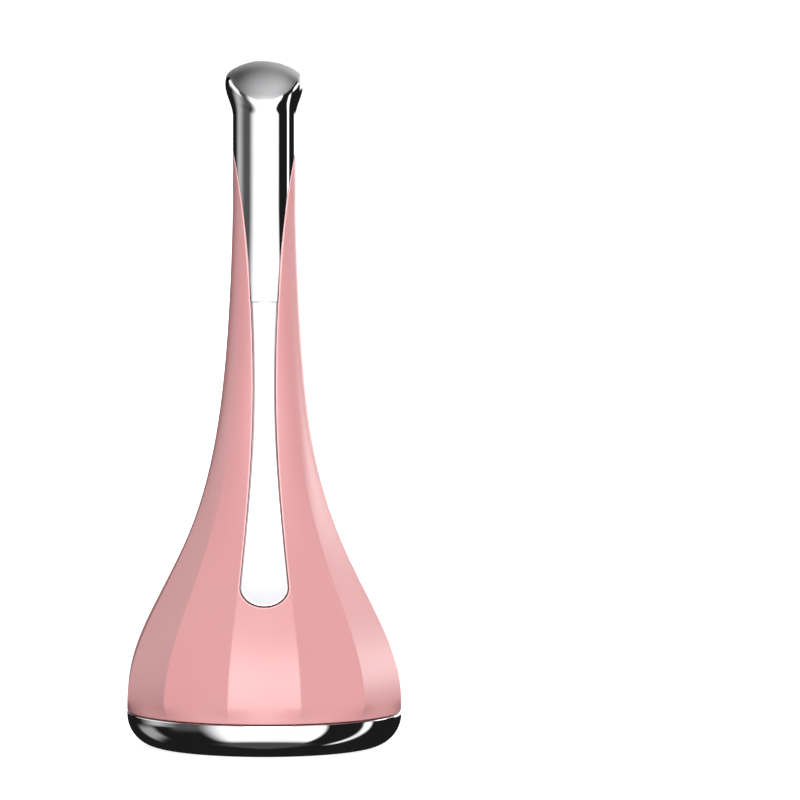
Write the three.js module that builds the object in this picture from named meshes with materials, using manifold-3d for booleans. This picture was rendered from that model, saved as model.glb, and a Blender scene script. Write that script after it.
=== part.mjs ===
// A handheld cold compress wand. A thermoelectric cooler chills the wide metal plate that the wand
// stands on, a small vibration motor sits under the narrow metal tip, and a long chrome key on the
// front switches both. Millimetres, +Z up, the key faces -Y, the origin is the middle of the base.
import * as THREE from "three";
import { mergeVertices } from "three/addons/utils/BufferGeometryUtils.js";
import Module from "manifold-3d";

const wasm = await Module();
wasm.setup();

// Fits
const gap = 0.3; // between neighbouring pieces
const pinClearance = 0.2; // round the hinge pin, the motor shaft and the threads
const past = 5; // how far a cutting tool runs past what it cuts

// Bell housing
const rimRadius = 30;
const rimHeight = 7.8;
const neckRadius = 6.85;
const flareHalfHeight = 36.8; // height above the rim at which half of the flare is left
const flareSharpness = 2.5;
const flareLength = 110; // height above the rim at which the flare has become the neck
const flareFade = 2.1;
const bellWall = 1.8;
const petalWall = 1.25;
const wallThinsFrom = 55;
const wallThinsTo = 95;
const facetCount = 12;
const facetRunOut = 3.6; // the facets rise out of the round rim over this height
const facetFadeFrom = 34;
const facetFadeTo = 76;
const bossRadius = 2.3;
const bossLength = 18;
const ribThickness = 1.5;

// Chrome inlay: the slot for the key and the V that the petals leave for the neck
const slotBottom = 32.6;
const slotShoulder = 37;
const slotShoulderHalf = 5.2;
const slotWaist = 80;
const slotWaistHalf = 2.5;
const petalTip = 130.3;
const petalTipHalf = 4.15; // what the V's curve aims at before it swings out to the petals' tips
const footEase = 2.4; // handles of the outline's curves, along Z
const footRound = 0.22; // the foot is this much wider just below the shoulder
const shoulderEase = 9;
const shoulderTaper = 0.85;
const waistEase = 18;
const tipEase = 13;
const tongueFoot = 5;
const backTongueBottom = 86;

// Tip of the neck: a domed face that looks to the front. Its flared lip is widest behind the neck's axis.
const flareStart = 133.8;
const domeCentreHeight = 136.05;
const domeCentreBack = 5.6;
const domeRadius = 2 * neckRadius;
const lipFront = 0.3; // how far the lip stands out from the neck in front
const lipSide = 1.35; // at its widest
const lipBack = 2.85; // and at the back
const lipMiddle = 3.5; // its greatest width lies this far behind the neck's axis
const lipTurn = 1.25; // the flare's half wave runs on past its crest to the lip
const lipRiseFront = 2.6; // height of the flare in front
const lipRiseBack = 13.5; // and at the back
const tipCore = 138; // the hollow round the tip's screw post ends here
const postWall = 1.3;

// Cold plate
const plateEdge = 7; // radius of the rolled edge
const plateFloor = 3;
const plateCorner = 1; // radius inside, between floor and wall
const spigotHeight = 5;
const spigotWall = 2.2;
const sealRadius = 0.45;
const sealDepth = 0.35; // the seal's centre lies this far inside the spigot's face
const sealAbove = 1.1; // and this far above the plate's shoulder
const snapAbove = 2.7;
const snapHeight = 1.4;
const snapDepth = 0.8;

// Cooler
const coolerSize = 25;
const padThickness = 0.5;
const ceramicThickness = 0.75;
const legHeight = 1.5;
const legRows = 4;
const legSize = 2;
const bridgeThickness = 0.4;
const foamWall = 1; // left outside the cooler's corners
const sinkMargin = 1.5; // the heat sink stands out past the cooler by this much
const sinkBase = 2.5;
const finHeight = 11.5;
const finThickness = 1.2;
const finCount = 9;
const earLength = 3.7;
const earHalf = 3;
const earEdge = 2; // from the screw to the end of the ear

// Carrier ring that the plate snaps onto
const carrierThickness = 2.5;
const carrierWidth = 5.7;
const carrierScrewInset = 3.2;
const carrierScrewAngle = 60;
const snapArmHalf = 3;
const snapArmThickness = 1.2;
const snapLeadIn = 0.8;

// Spine, a frame in two halves: a foot, a cradle for the cell, a cone and a tube for the motor
const sinkAir = 3; // free height over the fins
const footThickness = 1.5;
const footInset = 0.7; // inside the carrier's opening
const footHole = 3;
const spineScrewInset = 3.5;
const spineScrewAngle = 45;
const cellSeat = 1.4;
const cellSeatInner = 5.6;
const cradleWall = 0.95;
const cradleHead = 3.8; // free height over the cell
const coneLength = 16;
const tubeWall = 1.3;
const spineTop = 133;
const spineWeb = 2.5;
const ledge = 1;
const ledgeReach = 0.8;
const wireSlotHalf = 2.4;
const wireSlotBottom = 52.5;
const wireSlotTop = 74;

// Cell
const cellRadius = 7.1;
const cellLength = 38;
const tabThickness = 0.25;
const tabHalf = 2;
const tabLength = 5;

// Vibration motor
const motorRadius = 2.75;
const motorLength = 14;
const motorBottom = 104.5;
const bootWall = 0.55;
const bootFloor = 0.6;
const bootHole = 1.9;
const shaftRadius = 0.5;
const shaftInside = 3;
const shaftOutside = 6;
const weightRadius = 2.6;
const weightHub = 1.3;
const weightHeight = 4;
const weightAbove = 1.6;

// Key and its hinge
const keyThickness = 1.3;
const keyDrop = 0.25; // extra room under the key's foot, which sinks a little as it is pressed
const pivotHeight = 92;
const pivotRoom = 1; // between the hinge's ears and the bell
const keyAbovePivot = 6;
const pinRadius = 0.4;
const lugRadius = 1.2;
const lugHalf = 1.6;
const hingeEarRadius = 1.1;
const hingeEarThickness = 0.9;
const keyRibHalf = 0.5;
const keyRibAbove = 4; // the rib starts this far above the switch
const keyRibLength = 18;
const keyRibDepth = 0.7;

// Switch under the key
const switchHeight = 42;
const switchSize = 6;
const switchDepth = 3.4;
const switchPocket = 2;
const keyPostRadius = 1.5;
const keyPostLength = 1.2;
const plungerRadius = 1.7;
const plungerSeated = 1; // how deep the plunger stands in the switch when it is up

// Boards and the charging socket
const boardThickness = 1.2;
const boardStandoff = 1.15;
const standoffRadius = 1.8;
const keyBoardHalf = 6;
const keyBoardBelow = 8.5; // what the board reaches below the switch
const keyBoardLength = 17.5;
const boardScrewInset = 2;
const mainBoardHalf = 7;
const mainBoardBottom = 28;
const mainBoardLength = 21;
const mainScrewX = 5;
const mainScrewBelow = 4; // under the ribbon
const chargeBoardHalf = 8;
const chargeBoardLength = 5.5;
const chargeStandoff = 1.2;
const chargeScrewX = 6.3;
const chargeScrewInset = 2;
const socketHalf = 4.47;
const socketHeight = 3.2;
const socketLength = 7.3;
const socketWall = 0.35;
const socketBack = 1;
const tongueHalf = 3.35;
const tongueThickness = 0.7;
const tongueInset = 0.7;
const portDepth = 0.35; // depth of the port's recess at its upper edge
const portMargin = 1.1;
const portPad = 1.3; // wall left behind the recess
const ribbonBelow = 2; // under the switch
const ribbonWidth = 3;
const ribbonThickness = 0.2;

// Screws
const largeScrew = { head: 1.8, headHeight: 1.3, shank: 1, length: 6 };
const sinkScrew = { head: 1.8, headHeight: 1.3, shank: 1, length: 5.5 };
const smallScrew = { head: 1.5, headHeight: 1, shank: 0.7, length: 2.4 };
const tipScrew = { head: 1.8, headHeight: 1.3, shank: 1, length: 8.5 };
const screwSlot = 0.5;
const holeEnd = 0.5; // free depth past the end of a screw

// Leads
const leadRadius = 0.45;
const leadRoom = 0.75; // between the cooler's leads and the heat sink
const leadSteps = 10;
const leadUnderScrew = 3.2; // the charging leads end this far under the main board's screws

// Numbers of flats that stand for round
const bellSteps = 48;
const roundSteps = 24;
const tubeSteps = 16;
const smallSteps = 8;
const screwSteps = 8;

// Finishes
const finish = (color, roughness, metalness) =>
  new THREE.MeshStandardMaterial({ color, roughness, metalness });
const pinkShell = finish(0xf4b3b6, 0.35, 0);
const chrome = finish(0xe6e6ea, 0.05, 1);
const satinSteel = finish(0xb4b4b8, 0.3, 1);
const blackFrame = finish(0x2b2c30, 0.55, 0);
const whiteCeramic = finish(0xf1efe8, 0.6, 0);
const greyPad = finish(0x9aa3ad, 0.8, 0);
const darkFoam = finish(0x3a3a3d, 0.95, 0);
const aluminium = finish(0xc9ccd0, 0.4, 1);
const steel = finish(0xa7a9ae, 0.3, 1);
const copper = finish(0xb87348, 0.35, 1);
const boardGreen = finish(0x1f6b45, 0.5, 0);
const cellBlue = finish(0x3d6ea8, 0.4, 0);
const rubber = finish(0x202124, 0.9, 0);
const amberFilm = finish(0xc07a2c, 0.4, 0);
const redWire = finish(0xb3262b, 0.5, 0);
const blackWire = finish(0x17181a, 0.5, 0);

// Solids from three.js geometry
function solid(geometry) {
  const bare = geometry.clone();
  bare.deleteAttribute("normal");
  bare.deleteAttribute("uv");
  const merged = mergeVertices(bare, 1e-4);
  const index = merged.index.array;
  const kept = [];
  for (let i = 0; i < index.length; i += 3) {
    const [a, b, c] = [index[i], index[i + 1], index[i + 2]];
    if (a !== b && b !== c && c !== a) kept.push(a, b, c);
  }
  const vertProperties = new Float32Array(merged.attributes.position.array);
  const build = (corners) =>
    new wasm.Manifold(new wasm.Mesh({ numProp: 3, vertProperties, triVerts: new Uint32Array(corners) }));
  const made = build(kept);
  return made.volume() > 0 ? made : build(kept.reverse());
}

function geometryOf(body) {
  const mesh = body.getMesh();
  const geometry = new THREE.BufferGeometry();
  geometry.setAttribute("position", new THREE.BufferAttribute(mesh.vertProperties, 3));
  geometry.setIndex(new THREE.BufferAttribute(mesh.triVerts, 1));
  geometry.computeVertexNormals();
  return geometry;
}

const union = (bodies) => bodies.reduce((whole, body) => whole.add(body));
const without = (body, tools) => tools.reduce((left, tool) => left.subtract(tool), body);

function box(x0, x1, y0, y1, z0, z1) {
  const geometry = new THREE.BoxGeometry(x1 - x0, y1 - y0, z1 - z0);
  return solid(geometry.translate((x0 + x1) / 2, (y0 + y1) / 2, (z0 + z1) / 2));
}

// Round bars along one axis, from one end to the other
const rod = (radius, length, steps) => new THREE.CylinderGeometry(radius, radius, length, steps);
const barZ = (radius, x, y, z0, z1, steps = smallSteps) =>
  solid(rod(radius, z1 - z0, steps).rotateX(Math.PI / 2).translate(x, y, (z0 + z1) / 2));
const barY = (radius, x, z, y0, y1, steps = smallSteps) =>
  solid(rod(radius, y1 - y0, steps).translate(x, (y0 + y1) / 2, z));
const barX = (radius, y, z, x0, x1, steps = smallSteps) =>
  solid(rod(radius, x1 - x0, steps).rotateZ(Math.PI / 2).translate((x0 + x1) / 2, y, z));

// An outline of [radius, height] turned about the Z axis, which it starts and ends on or runs round
function turned(outline, steps = bellSteps) {
  const points = outline.map(([r, z]) => new THREE.Vector2(r, z));
  if (points[0].x > 0) points.push(points[0].clone());
  return solid(new THREE.LatheGeometry(points, steps).rotateX(Math.PI / 2));
}

// An outline in the front plane, x across and z up, as a prism from y0 to y1
function prismY(shape, y0, y1, curveSegments = 10) {
  const settings = { depth: y1 - y0, bevelEnabled: false, curveSegments };
  return solid(new THREE.ExtrudeGeometry(shape, settings).rotateX(Math.PI / 2).translate(0, y1, 0));
}

// A flat bar with round ends, across X, as a hole or as an outline of its own
function stadium(half, height, z, outline = new THREE.Shape()) {
  const radius = height / 2;
  outline.moveTo(radius - half, z - radius);
  outline.lineTo(half - radius, z - radius);
  outline.absarc(half - radius, z, radius, -Math.PI / 2, Math.PI / 2, false);
  outline.lineTo(radius - half, z + radius);
  outline.absarc(radius - half, z, radius, Math.PI / 2, (Math.PI * 3) / 2, false);
  return outline;
}

// Rings of points, lowest first, joined into one closed skin
function loft(rings) {
  const steps = rings[0].length;
  const points = rings.flat();
  const middle = (ring) =>
    ring.reduce((sum, p) => sum.add(p), new THREE.Vector3()).divideScalar(steps);
  const bottom = points.push(middle(rings[0])) - 1;
  const top = points.push(middle(rings.at(-1))) - 1;
  const last = (rings.length - 1) * steps;
  const index = [];
  for (let i = 0; i < steps; i += 1) {
    const next = (i + 1) % steps;
    for (let row = 0; row < last; row += steps) {
      index.push(row + i, row + next, row + steps + next);
      index.push(row + i, row + steps + next, row + steps + i);
    }
    index.push(bottom, next, i, top, last + i, last + next);
  }
  return solid(new THREE.BufferGeometry().setFromPoints(points).setIndex(index));
}

// Angles run from the front, -Y, round through +X
const onRing = (radius, angle, z) =>
  new THREE.Vector3(radius * Math.sin(angle), -radius * Math.cos(angle), z);
const ringOf = (radiusAt, heightAt) =>
  Array.from({ length: bellSteps }, (_, i) => {
    const angle = (i / bellSteps) * 2 * Math.PI;
    return onRing(radiusAt(angle), angle, heightAt(angle));
  });
const spaced = (from, to, count) =>
  Array.from({ length: count + 1 }, (_, i) => from + ((to - from) * i) / count);
const smooth = (t) => THREE.MathUtils.smoothstep(t, 0, 1);
const radians = THREE.MathUtils.degToRad;

// The bell's skin: a flare that dies away into the neck, with flats that fade out upwards
function flareRadius(z) {
  const rise = Math.max(z - rimHeight, 0);
  const fade = 1 - Math.min(rise / flareLength, 1) ** flareFade;
  return neckRadius + ((rimRadius - neckRadius) * fade) / (1 + (rise / flareHalfHeight) ** flareSharpness);
}

function skinRadius(z, angle) {
  const flat = (2 * Math.PI) / facetCount;
  const offFlat = angle - Math.round(angle / flat) * flat;
  const faded = smooth((z - facetFadeFrom) / (facetFadeTo - facetFadeFrom));
  const share = smooth((z - rimHeight) / facetRunOut) * (1 - faded);
  return flareRadius(z) * (1 + share * (1 / Math.cos(offFlat) - 1));
}

function bellInner(z) {
  const thinned = smooth((z - wallThinsFrom) / (wallThinsTo - wallThinsFrom));
  return flareRadius(z) - bellWall - (petalWall - bellWall) * thinned;
}

const skinHeights = [
  ...spaced(rimHeight, rimHeight + facetRunOut, 2),
  ...spaced(rimHeight + facetRunOut, facetFadeTo, 11).slice(1),
  ...spaced(facetFadeTo, petalTip, 4).slice(1),
];
const skin = (inset, heights = skinHeights) =>
  loft(heights.map((z) => ringOf((angle) => skinRadius(z, angle) - inset, () => z)));

// The chrome area seen from the front: a slot with a round foot that opens into the petals' V. At
// the back there is only the V, with a round foot of its own.
function inlayShape(grow, isFront, foot) {
  const half = slotWaistHalf + grow;
  const right = new THREE.Path();
  right.moveTo(0, foot);
  if (isFront) {
    const wide = slotShoulderHalf + grow;
    const ease = slotShoulder - footEase;
    right.bezierCurveTo(wide * 0.6, foot, wide + footRound, ease, wide, slotShoulder);
    const taper = wide - shoulderTaper;
    right.bezierCurveTo(taper, slotShoulder + shoulderEase, half, slotWaist - waistEase, half, slotWaist);
  } else {
    right.bezierCurveTo(half * 0.6, foot, half, foot + footEase, half, foot + tongueFoot);
  }
  const waist = isFront ? slotWaist : foot + tongueFoot;
  const tip = petalTip - 2 * grow;
  right.bezierCurveTo(half, waist + waistEase, petalTipHalf + grow, tip - tipEase, neckRadius + grow, tip);
  right.lineTo(rimRadius, tip + past);
  right.lineTo(rimRadius, domeCentreHeight + domeRadius + past);
  const points = right.getPoints(7);
  const mirrored = points.slice(1).reverse().map((p) => new THREE.Vector2(-p.x, p.y));
  return new THREE.Shape([...points, ...mirrored]);
}

const reach = Math.ceil(rimRadius) + past; // whole, so that the front and back outlines meet exactly
const frontInlay = (grow, foot) => prismY(inlayShape(grow, true, foot), -reach, 0);
const backInlay = (grow, foot) => prismY(inlayShape(grow, false, foot), 0, reach);

// Heights and radii that follow from the driving dimensions
const plateTop = rimHeight - gap;
const spigotTop = plateTop + spigotHeight;
const spigotOuter = bellInner(spigotTop) - gap;
const spigotInner = spigotOuter - spigotWall;
const carrierBottom = spigotTop + gap;
const carrierTop = carrierBottom + carrierThickness;
const carrierOuter = bellInner(carrierTop) - gap;
const carrierInner = carrierOuter - carrierWidth;
const carrierScrewRing = carrierOuter - carrierScrewInset;
const footRadius = carrierInner - footInset;
const spineScrewRing = footRadius - spineScrewInset;
const foamRadius = (coolerSize / 2 + gap) * Math.SQRT2 + foamWall;
const sinkSize = coolerSize + 2 * sinkMargin;
const earReach = sinkSize / 2 + earLength;
const sinkScrewRing = earReach - earEdge;
const coldCeramicBottom = plateFloor + padThickness;
const coreBottom = coldCeramicBottom + ceramicThickness;
const hotCeramicBottom = coreBottom + legHeight;
const hotPadBottom = hotCeramicBottom + ceramicThickness;
const sinkBottom = hotPadBottom + padThickness;
const finBottom = sinkBottom + sinkBase;
const finTop = finBottom + finHeight;
const footBottom = finTop + sinkAir;
const footTop = footBottom + footThickness;
const cellBottom = footTop + cellSeat + gap;
const cellTop = cellBottom + cellLength;
const cradleInner = cellRadius + gap;
const cradleOuter = cradleInner + cradleWall;
const coneBottom = cellTop + cradleHead;
const coneTop = coneBottom + coneLength;
const bootInner = motorRadius + gap;
const bootOuter = bootInner + bootWall;
const bootBottom = motorBottom - gap - bootFloor;
const motorTop = motorBottom + motorLength;
const tubeInner = bootOuter + gap;
const tubeOuter = tubeInner + tubeWall;
const neckBore = tubeOuter + gap;
const pivotDepth = bellInner(pivotHeight) - pivotRoom - hingeEarRadius;
const seamHeight = pivotHeight + keyAbovePivot;
const keyBoardBottom = switchHeight - keyBoardBelow;
const ribbonHeight = switchHeight - ribbonBelow;
const mainScrewHeight = ribbonHeight - mainScrewBelow;
const boardInner = cradleOuter + boardStandoff;
const boardOuter = boardInner + boardThickness;
const threadEnd = boardOuter - smallScrew.length - holeEnd;
const switchFront = boardOuter + switchDepth;
const keyPostEnd = flareRadius(switchHeight) - keyThickness - keyPostLength;
const chargeBoardTop = carrierTop + chargeStandoff + boardThickness;
const socketMiddle = chargeBoardTop + socketHeight / 2;
const portTop = socketMiddle + socketHeight / 2 + portMargin;
const portFloor = flareRadius(portTop) - portDepth;
const chargeBoardBack = portFloor - portPad - gap;
const chargeBoardFront = chargeBoardBack - chargeBoardLength;
const chargeScrewY = chargeBoardBack - chargeScrewInset;
const coolerLead = { x: earHalf + leadRoom + leadRadius, y: sinkSize / 2 + leadRoom + leadRadius };

// Screws stand along +Z with the underside of the head at zero. Each has its own threaded hole.
function screwBody({ head, headHeight, shank, length }) {
  const outline = [
    [0, -headHeight],
    [head, -headHeight],
    [head, 0],
    [shank, 0],
    [shank, length],
    [0, length],
  ];
  const half = screwSlot / 2;
  const slot = box(-reach, reach, -half, half, -headHeight - past, screwSlot - headHeight);
  return turned(outline, screwSteps).subtract(slot);
}

const screwShapes = new Map(
  [largeScrew, sinkScrew, smallScrew, tipScrew].map((size) => [size, geometryOf(screwBody(size))]),
);
const threadRadius = ({ shank }) => shank + pinClearance;
const pointing = { up: 0, down: Math.PI, back: -Math.PI / 2, front: Math.PI / 2 };

function screw(name, size, x, y, z, direction) {
  const mesh = new THREE.Mesh(screwShapes.get(size), steel.clone());
  mesh.name = name;
  mesh.position.set(x, y, z);
  mesh.rotation.x = pointing[direction];
  return mesh;
}

// A named piece. Its geometry is kept about the point that the piece is placed at.
function piece(name, body, material, [x, y, z] = [0, 0, 0]) {
  const mesh = new THREE.Mesh(geometryOf(body).translate(-x, -y, -z), material.clone());
  mesh.name = name;
  mesh.position.set(x, y, z);
  return mesh;
}

function assembly(...pieces) {
  const group = new THREE.Group();
  group.add(...pieces);
  return group;
}

// Four places on a ring, mirrored left to right and front to back
const fourRound = (ring, degrees) =>
  [degrees, 180 - degrees, 180 + degrees, -degrees].map((turn) => onRing(ring, radians(turn), 0));

const sinkPlaces = [0, 90, 180, 270].map((turn) => onRing(sinkScrewRing, radians(turn), 0));

// Bell housing
function boss(at, ring, bottom, screwSeat) {
  const angle = Math.atan2(at.x, -at.y);
  const post = barZ(bossRadius, at.x, at.y, bottom, bottom + bossLength);
  const half = ribThickness / 2;
  const rib = box(-half, half, -reach, -ring, bottom, bottom + bossLength);
  const turnedRib = rib.rotate([0, 0, THREE.MathUtils.radToDeg(angle)]);
  const hole = barZ(threadRadius(largeScrew), at.x, at.y, bottom - past, screwSeat + holeEnd);
  return post.add(turnedRib).subtract(hole);
}

function portCut() {
  const mouth = prismY(stadium(socketHalf + gap, socketHeight + 2 * gap, socketMiddle), 0, reach, 5);
  const recessShape = stadium(socketHalf + portMargin, socketHeight + 2 * portMargin, socketMiddle);
  return mouth.add(prismY(recessShape, portFloor, reach, 5));
}

function portBlock() {
  const half = socketHalf + portMargin + portPad;
  return box(-half, half, portFloor - portPad, reach, carrierTop + gap, portTop + portPad);
}

function bellHousing() {
  const heights = skinHeights.filter((z, i) => z < facetFadeFrom || i % 2 === 0);
  const hollow = turned([
    [0, rimHeight - past],
    [bellInner(rimHeight), rimHeight - past],
    ...heights.slice(1).map((z) => [bellInner(z), z]),
    [bellInner(petalTip), petalTip + past],
    [0, petalTip + past],
  ], roundSteps);
  const carrierSeat = carrierTop - carrierThickness + largeScrew.headHeight;
  const bosses = [
    ...fourRound(carrierScrewRing, carrierScrewAngle).map((at) =>
      boss(at, carrierScrewRing, carrierTop + gap, carrierSeat + largeScrew.length),
    ),
    ...fourRound(spineScrewRing, spineScrewAngle).map((at) =>
      boss(at, spineScrewRing, footTop + gap, footBottom + largeScrew.length),
    ),
  ];
  const inside = union([...bosses, portBlock()]).intersect(skin(bellWall / 2));
  const shell = skin(0).subtract(hollow).add(inside);
  return without(shell, [
    frontInlay(0, slotBottom),
    backInlay(0, backTongueBottom),
    portCut(),
  ]);
}

// Neck and tip. The lip is two half ellipses that meet at its greatest width; radii are from the neck's axis.
function lipRadius(angle) {
  const [across, back] = [Math.sin(angle), -Math.cos(angle)];
  const reachTo = (end) => {
    const a = (across / (neckRadius + lipSide)) ** 2 + (back / end) ** 2;
    const b = (-back * lipMiddle) / end ** 2;
    return (Math.sqrt(b * b - a * ((lipMiddle / end) ** 2 - 1)) - b) / a;
  };
  const inFront = reachTo(neckRadius + lipFront + lipMiddle);
  return inFront * back < lipMiddle ? inFront : reachTo(neckRadius + lipBack - lipMiddle);
}

function flaredRadius(angle, part) {
  const wave = (share) => 1 - Math.cos(Math.PI * lipTurn * share);
  return neckRadius + ((lipRadius(angle) - neckRadius) * wave(part)) / wave(1);
}

function domeHeight(radius, angle) {
  const { x, y } = onRing(radius, angle, 0);
  return domeCentreHeight + Math.sqrt(domeRadius ** 2 - x ** 2 - (y - domeCentreBack) ** 2);
}

function neckSolid() {
  const lipHeight = (angle) => domeHeight(flaredRadius(angle, 1), angle);
  const lipRise = (angle) =>
    lipRiseFront + ((lipRiseBack - lipRiseFront) * (1 - Math.cos(angle))) / 2;
  const straight = [
    backTongueBottom,
    ...skinHeights.filter((z) => z > backTongueBottom),
  ].map((z) => ringOf((angle) => skinRadius(z, angle), () => z));
  const flare = spaced(0, 1, 6).map((share) => {
    const height = (angle) => flareStart + (lipHeight(angle) - flareStart) * share;
    const part = (angle) => Math.max(1 - (lipHeight(angle) - height(angle)) / lipRise(angle), 0);
    return ringOf((angle) => flaredRadius(angle, part(angle)), height);
  });
  const face = [0.95, domeCentreBack / (neckRadius + lipBack), 0.3].map((share) => {
    const radius = (angle) => flaredRadius(angle, 1) * share;
    return ringOf(radius, (angle) => domeHeight(radius(angle), angle));
  });
  return loft([...straight, ...flare, ...face]);
}

function neckHead() {
  const hole = threadRadius(tipScrew);
  const post = hole + postWall;
  const holeTop = spineTop - spineWeb + tipScrew.length + holeEnd;
  const bore = turned([
    [0, backTongueBottom - past],
    [neckBore, backTongueBottom - past],
    [neckBore, tipCore],
    [post, tipCore],
    [post, spineTop + gap],
    [hole, spineTop + gap],
    [hole, holeTop],
    [0, holeTop],
  ], roundSteps);
  const outline = frontInlay(-gap, slotBottom).add(backInlay(-gap, backTongueBottom + gap));
  const belowSeam = box(-reach, reach, -reach, 0, 0, seamHeight);
  return without(neckSolid(), [bore, belowSeam]).intersect(outline);
}

// Cold plate and its carrier
function coldPlate() {
  const quarter = (x, z, radius, steps) =>
    spaced(0, Math.PI / 2, steps).map((t) => [x + radius * Math.sin(t), z - radius * Math.cos(t)]);
  const snapBottom = plateTop + snapAbove;
  const sealHeight = plateTop + sealAbove;
  const sealRoom = sealRadius + gap;
  const grooveFloor = spigotOuter - sealDepth - sealRoom;
  const puck = turned([
    [0, 0],
    ...quarter(rimRadius - plateEdge, plateEdge, plateEdge, 4),
    [rimRadius, plateTop],
    [0, plateTop],
  ]);
  const spigot = turned([
    [0, plateTop - plateFloor],
    [spigotOuter, plateTop - plateFloor],
    [spigotOuter, sealHeight - sealRoom],
    [grooveFloor, sealHeight - sealRoom],
    [grooveFloor, sealHeight + sealRoom],
    [spigotOuter, sealHeight + sealRoom],
    [spigotOuter, spigotTop],
    [0, spigotTop],
  ], roundSteps);
  const inside = turned([
    [0, plateFloor],
    ...quarter(spigotInner - plateCorner, plateFloor + plateCorner, plateCorner, 2),
    [spigotInner, snapBottom],
    [spigotInner + snapDepth, snapBottom],
    [spigotInner + snapDepth, snapBottom + snapHeight],
    [spigotInner, snapBottom + snapHeight],
    [spigotInner, spigotTop + past],
    [0, spigotTop + past],
  ], roundSteps);
  const holeBottom = finBottom - sinkScrew.length - holeEnd;
  const posts = sinkPlaces.map(({ x, y }) => barZ(bossRadius, x, y, plateFloor / 2, sinkBottom - gap));
  const holes = sinkPlaces.map(({ x, y }) => barZ(threadRadius(sinkScrew), x, y, holeBottom, finTop));
  return without(union([puck.add(spigot).subtract(inside), ...posts]), holes);
}

function plateSeal() {
  const middle = spigotOuter - sealDepth;
  const height = plateTop + sealAbove;
  const section = spaced(0, 2 * Math.PI, 6).slice(1);
  const ring = section.map((t) => [middle + sealRadius * Math.cos(t), height + sealRadius * Math.sin(t)]);
  return turned(ring, roundSteps);
}

function baseCarrier() {
  const ring = turned([
    [carrierInner, carrierBottom],
    [carrierOuter, carrierBottom],
    [carrierOuter, carrierTop],
    [carrierInner, carrierTop],
  ], roundSteps);
  const armOuter = spigotInner - gap;
  const armInner = armOuter - snapArmThickness;
  const hookTop = plateTop + snapAbove + snapHeight - gap;
  const hookBottom = plateTop + snapAbove + gap;
  const arms = turned([
    [armInner, hookBottom - snapLeadIn],
    [armOuter, hookBottom - snapLeadIn],
    [armOuter + snapDepth - gap, hookBottom],
    [armOuter + snapDepth - gap, hookTop],
    [armOuter, hookTop],
    [armOuter, carrierBottom + carrierThickness / 2],
    [armInner, carrierBottom + carrierThickness / 2],
  ], roundSteps);
  const across = box(-reach, reach, -snapArmHalf, snapArmHalf, 0, carrierTop);
  const along = box(-snapArmHalf, snapArmHalf, -reach, reach, 0, carrierTop);
  const standoffs = [-chargeScrewX, chargeScrewX].map((x) =>
    barZ(standoffRadius, x, chargeScrewY, carrierBottom + carrierThickness / 2, carrierTop + chargeStandoff),
  );
  const seat = carrierBottom + largeScrew.headHeight;
  const screwHoles = fourRound(carrierScrewRing, carrierScrewAngle).flatMap(({ x, y }) => [
    barZ(largeScrew.head + gap, x, y, carrierBottom - past, seat),
    barZ(threadRadius(largeScrew), x, y, carrierBottom, carrierTop + past),
  ]);
  const threads = [-chargeScrewX, chargeScrewX].map((x) =>
    barZ(threadRadius(smallScrew), x, chargeScrewY, chargeBoardTop - smallScrew.length - holeEnd, finTop),
  );
  const body = union([ring, arms.intersect(across.add(along)), ...standoffs]);
  return without(body, [...screwHoles, ...threads]);
}

// Thermoelectric cooler, the heat sink over it and the foam round it
const slab = (size, bottom, thickness) =>
  box(-size / 2, size / 2, -size / 2, size / 2, bottom, bottom + thickness);

// Every pair of neighbouring legs is bridged in turn at the bottom and at the top
function coolerCore() {
  const pitch = coolerSize / legRows;
  const place = (i) => (i - (legRows - 1) / 2) * pitch;
  const legs = [];
  for (let row = 0; row < legRows; row += 1) {
    for (let i = 0; i < legRows; i += 1) {
      const column = row % 2 === 0 ? i : legRows - 1 - i;
      legs.push({ x: place(column), y: place(row) });
    }
  }
  const half = legSize / 2;
  const top = hotCeramicBottom;
  const posts = legs.map(({ x, y }) => box(x - half, x + half, y - half, y + half, coreBottom, top));
  const bridges = legs.slice(1).map((to, i) => {
    const from = legs[i];
    const bottom = i % 2 === 0 ? coreBottom : top - bridgeThickness;
    const [x0, x1] = [Math.min(from.x, to.x), Math.max(from.x, to.x)];
    const [y0, y1] = [Math.min(from.y, to.y), Math.max(from.y, to.y)];
    return box(x0 - half, x1 + half, y0 - half, y1 + half, bottom, bottom + bridgeThickness);
  });
  return union([...posts, ...bridges]);
}

function insulationFoam() {
  const bottom = plateFloor + gap;
  const top = sinkBottom - gap;
  const ring = barZ(foamRadius, 0, 0, bottom, top, roundSteps);
  const window = slab(coolerSize + 2 * gap, 0, finTop);
  const room = bossRadius + gap;
  const notches = [
    box(-sinkScrewRing, sinkScrewRing, -room, room, 0, finTop),
    box(-room, room, -sinkScrewRing, sinkScrewRing, 0, finTop),
    ...sinkPlaces.map(({ x, y }) => barZ(room, x, y, 0, finTop)),
    ...[-1, 1].map((side) => {
      const x = side * coolerLead.x;
      const half = leadRadius + gap;
      return box(x - half, x + half, 0, coolerLead.y + half, 0, finTop);
    }),
  ];
  return without(ring, [window, ...notches]);
}

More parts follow.
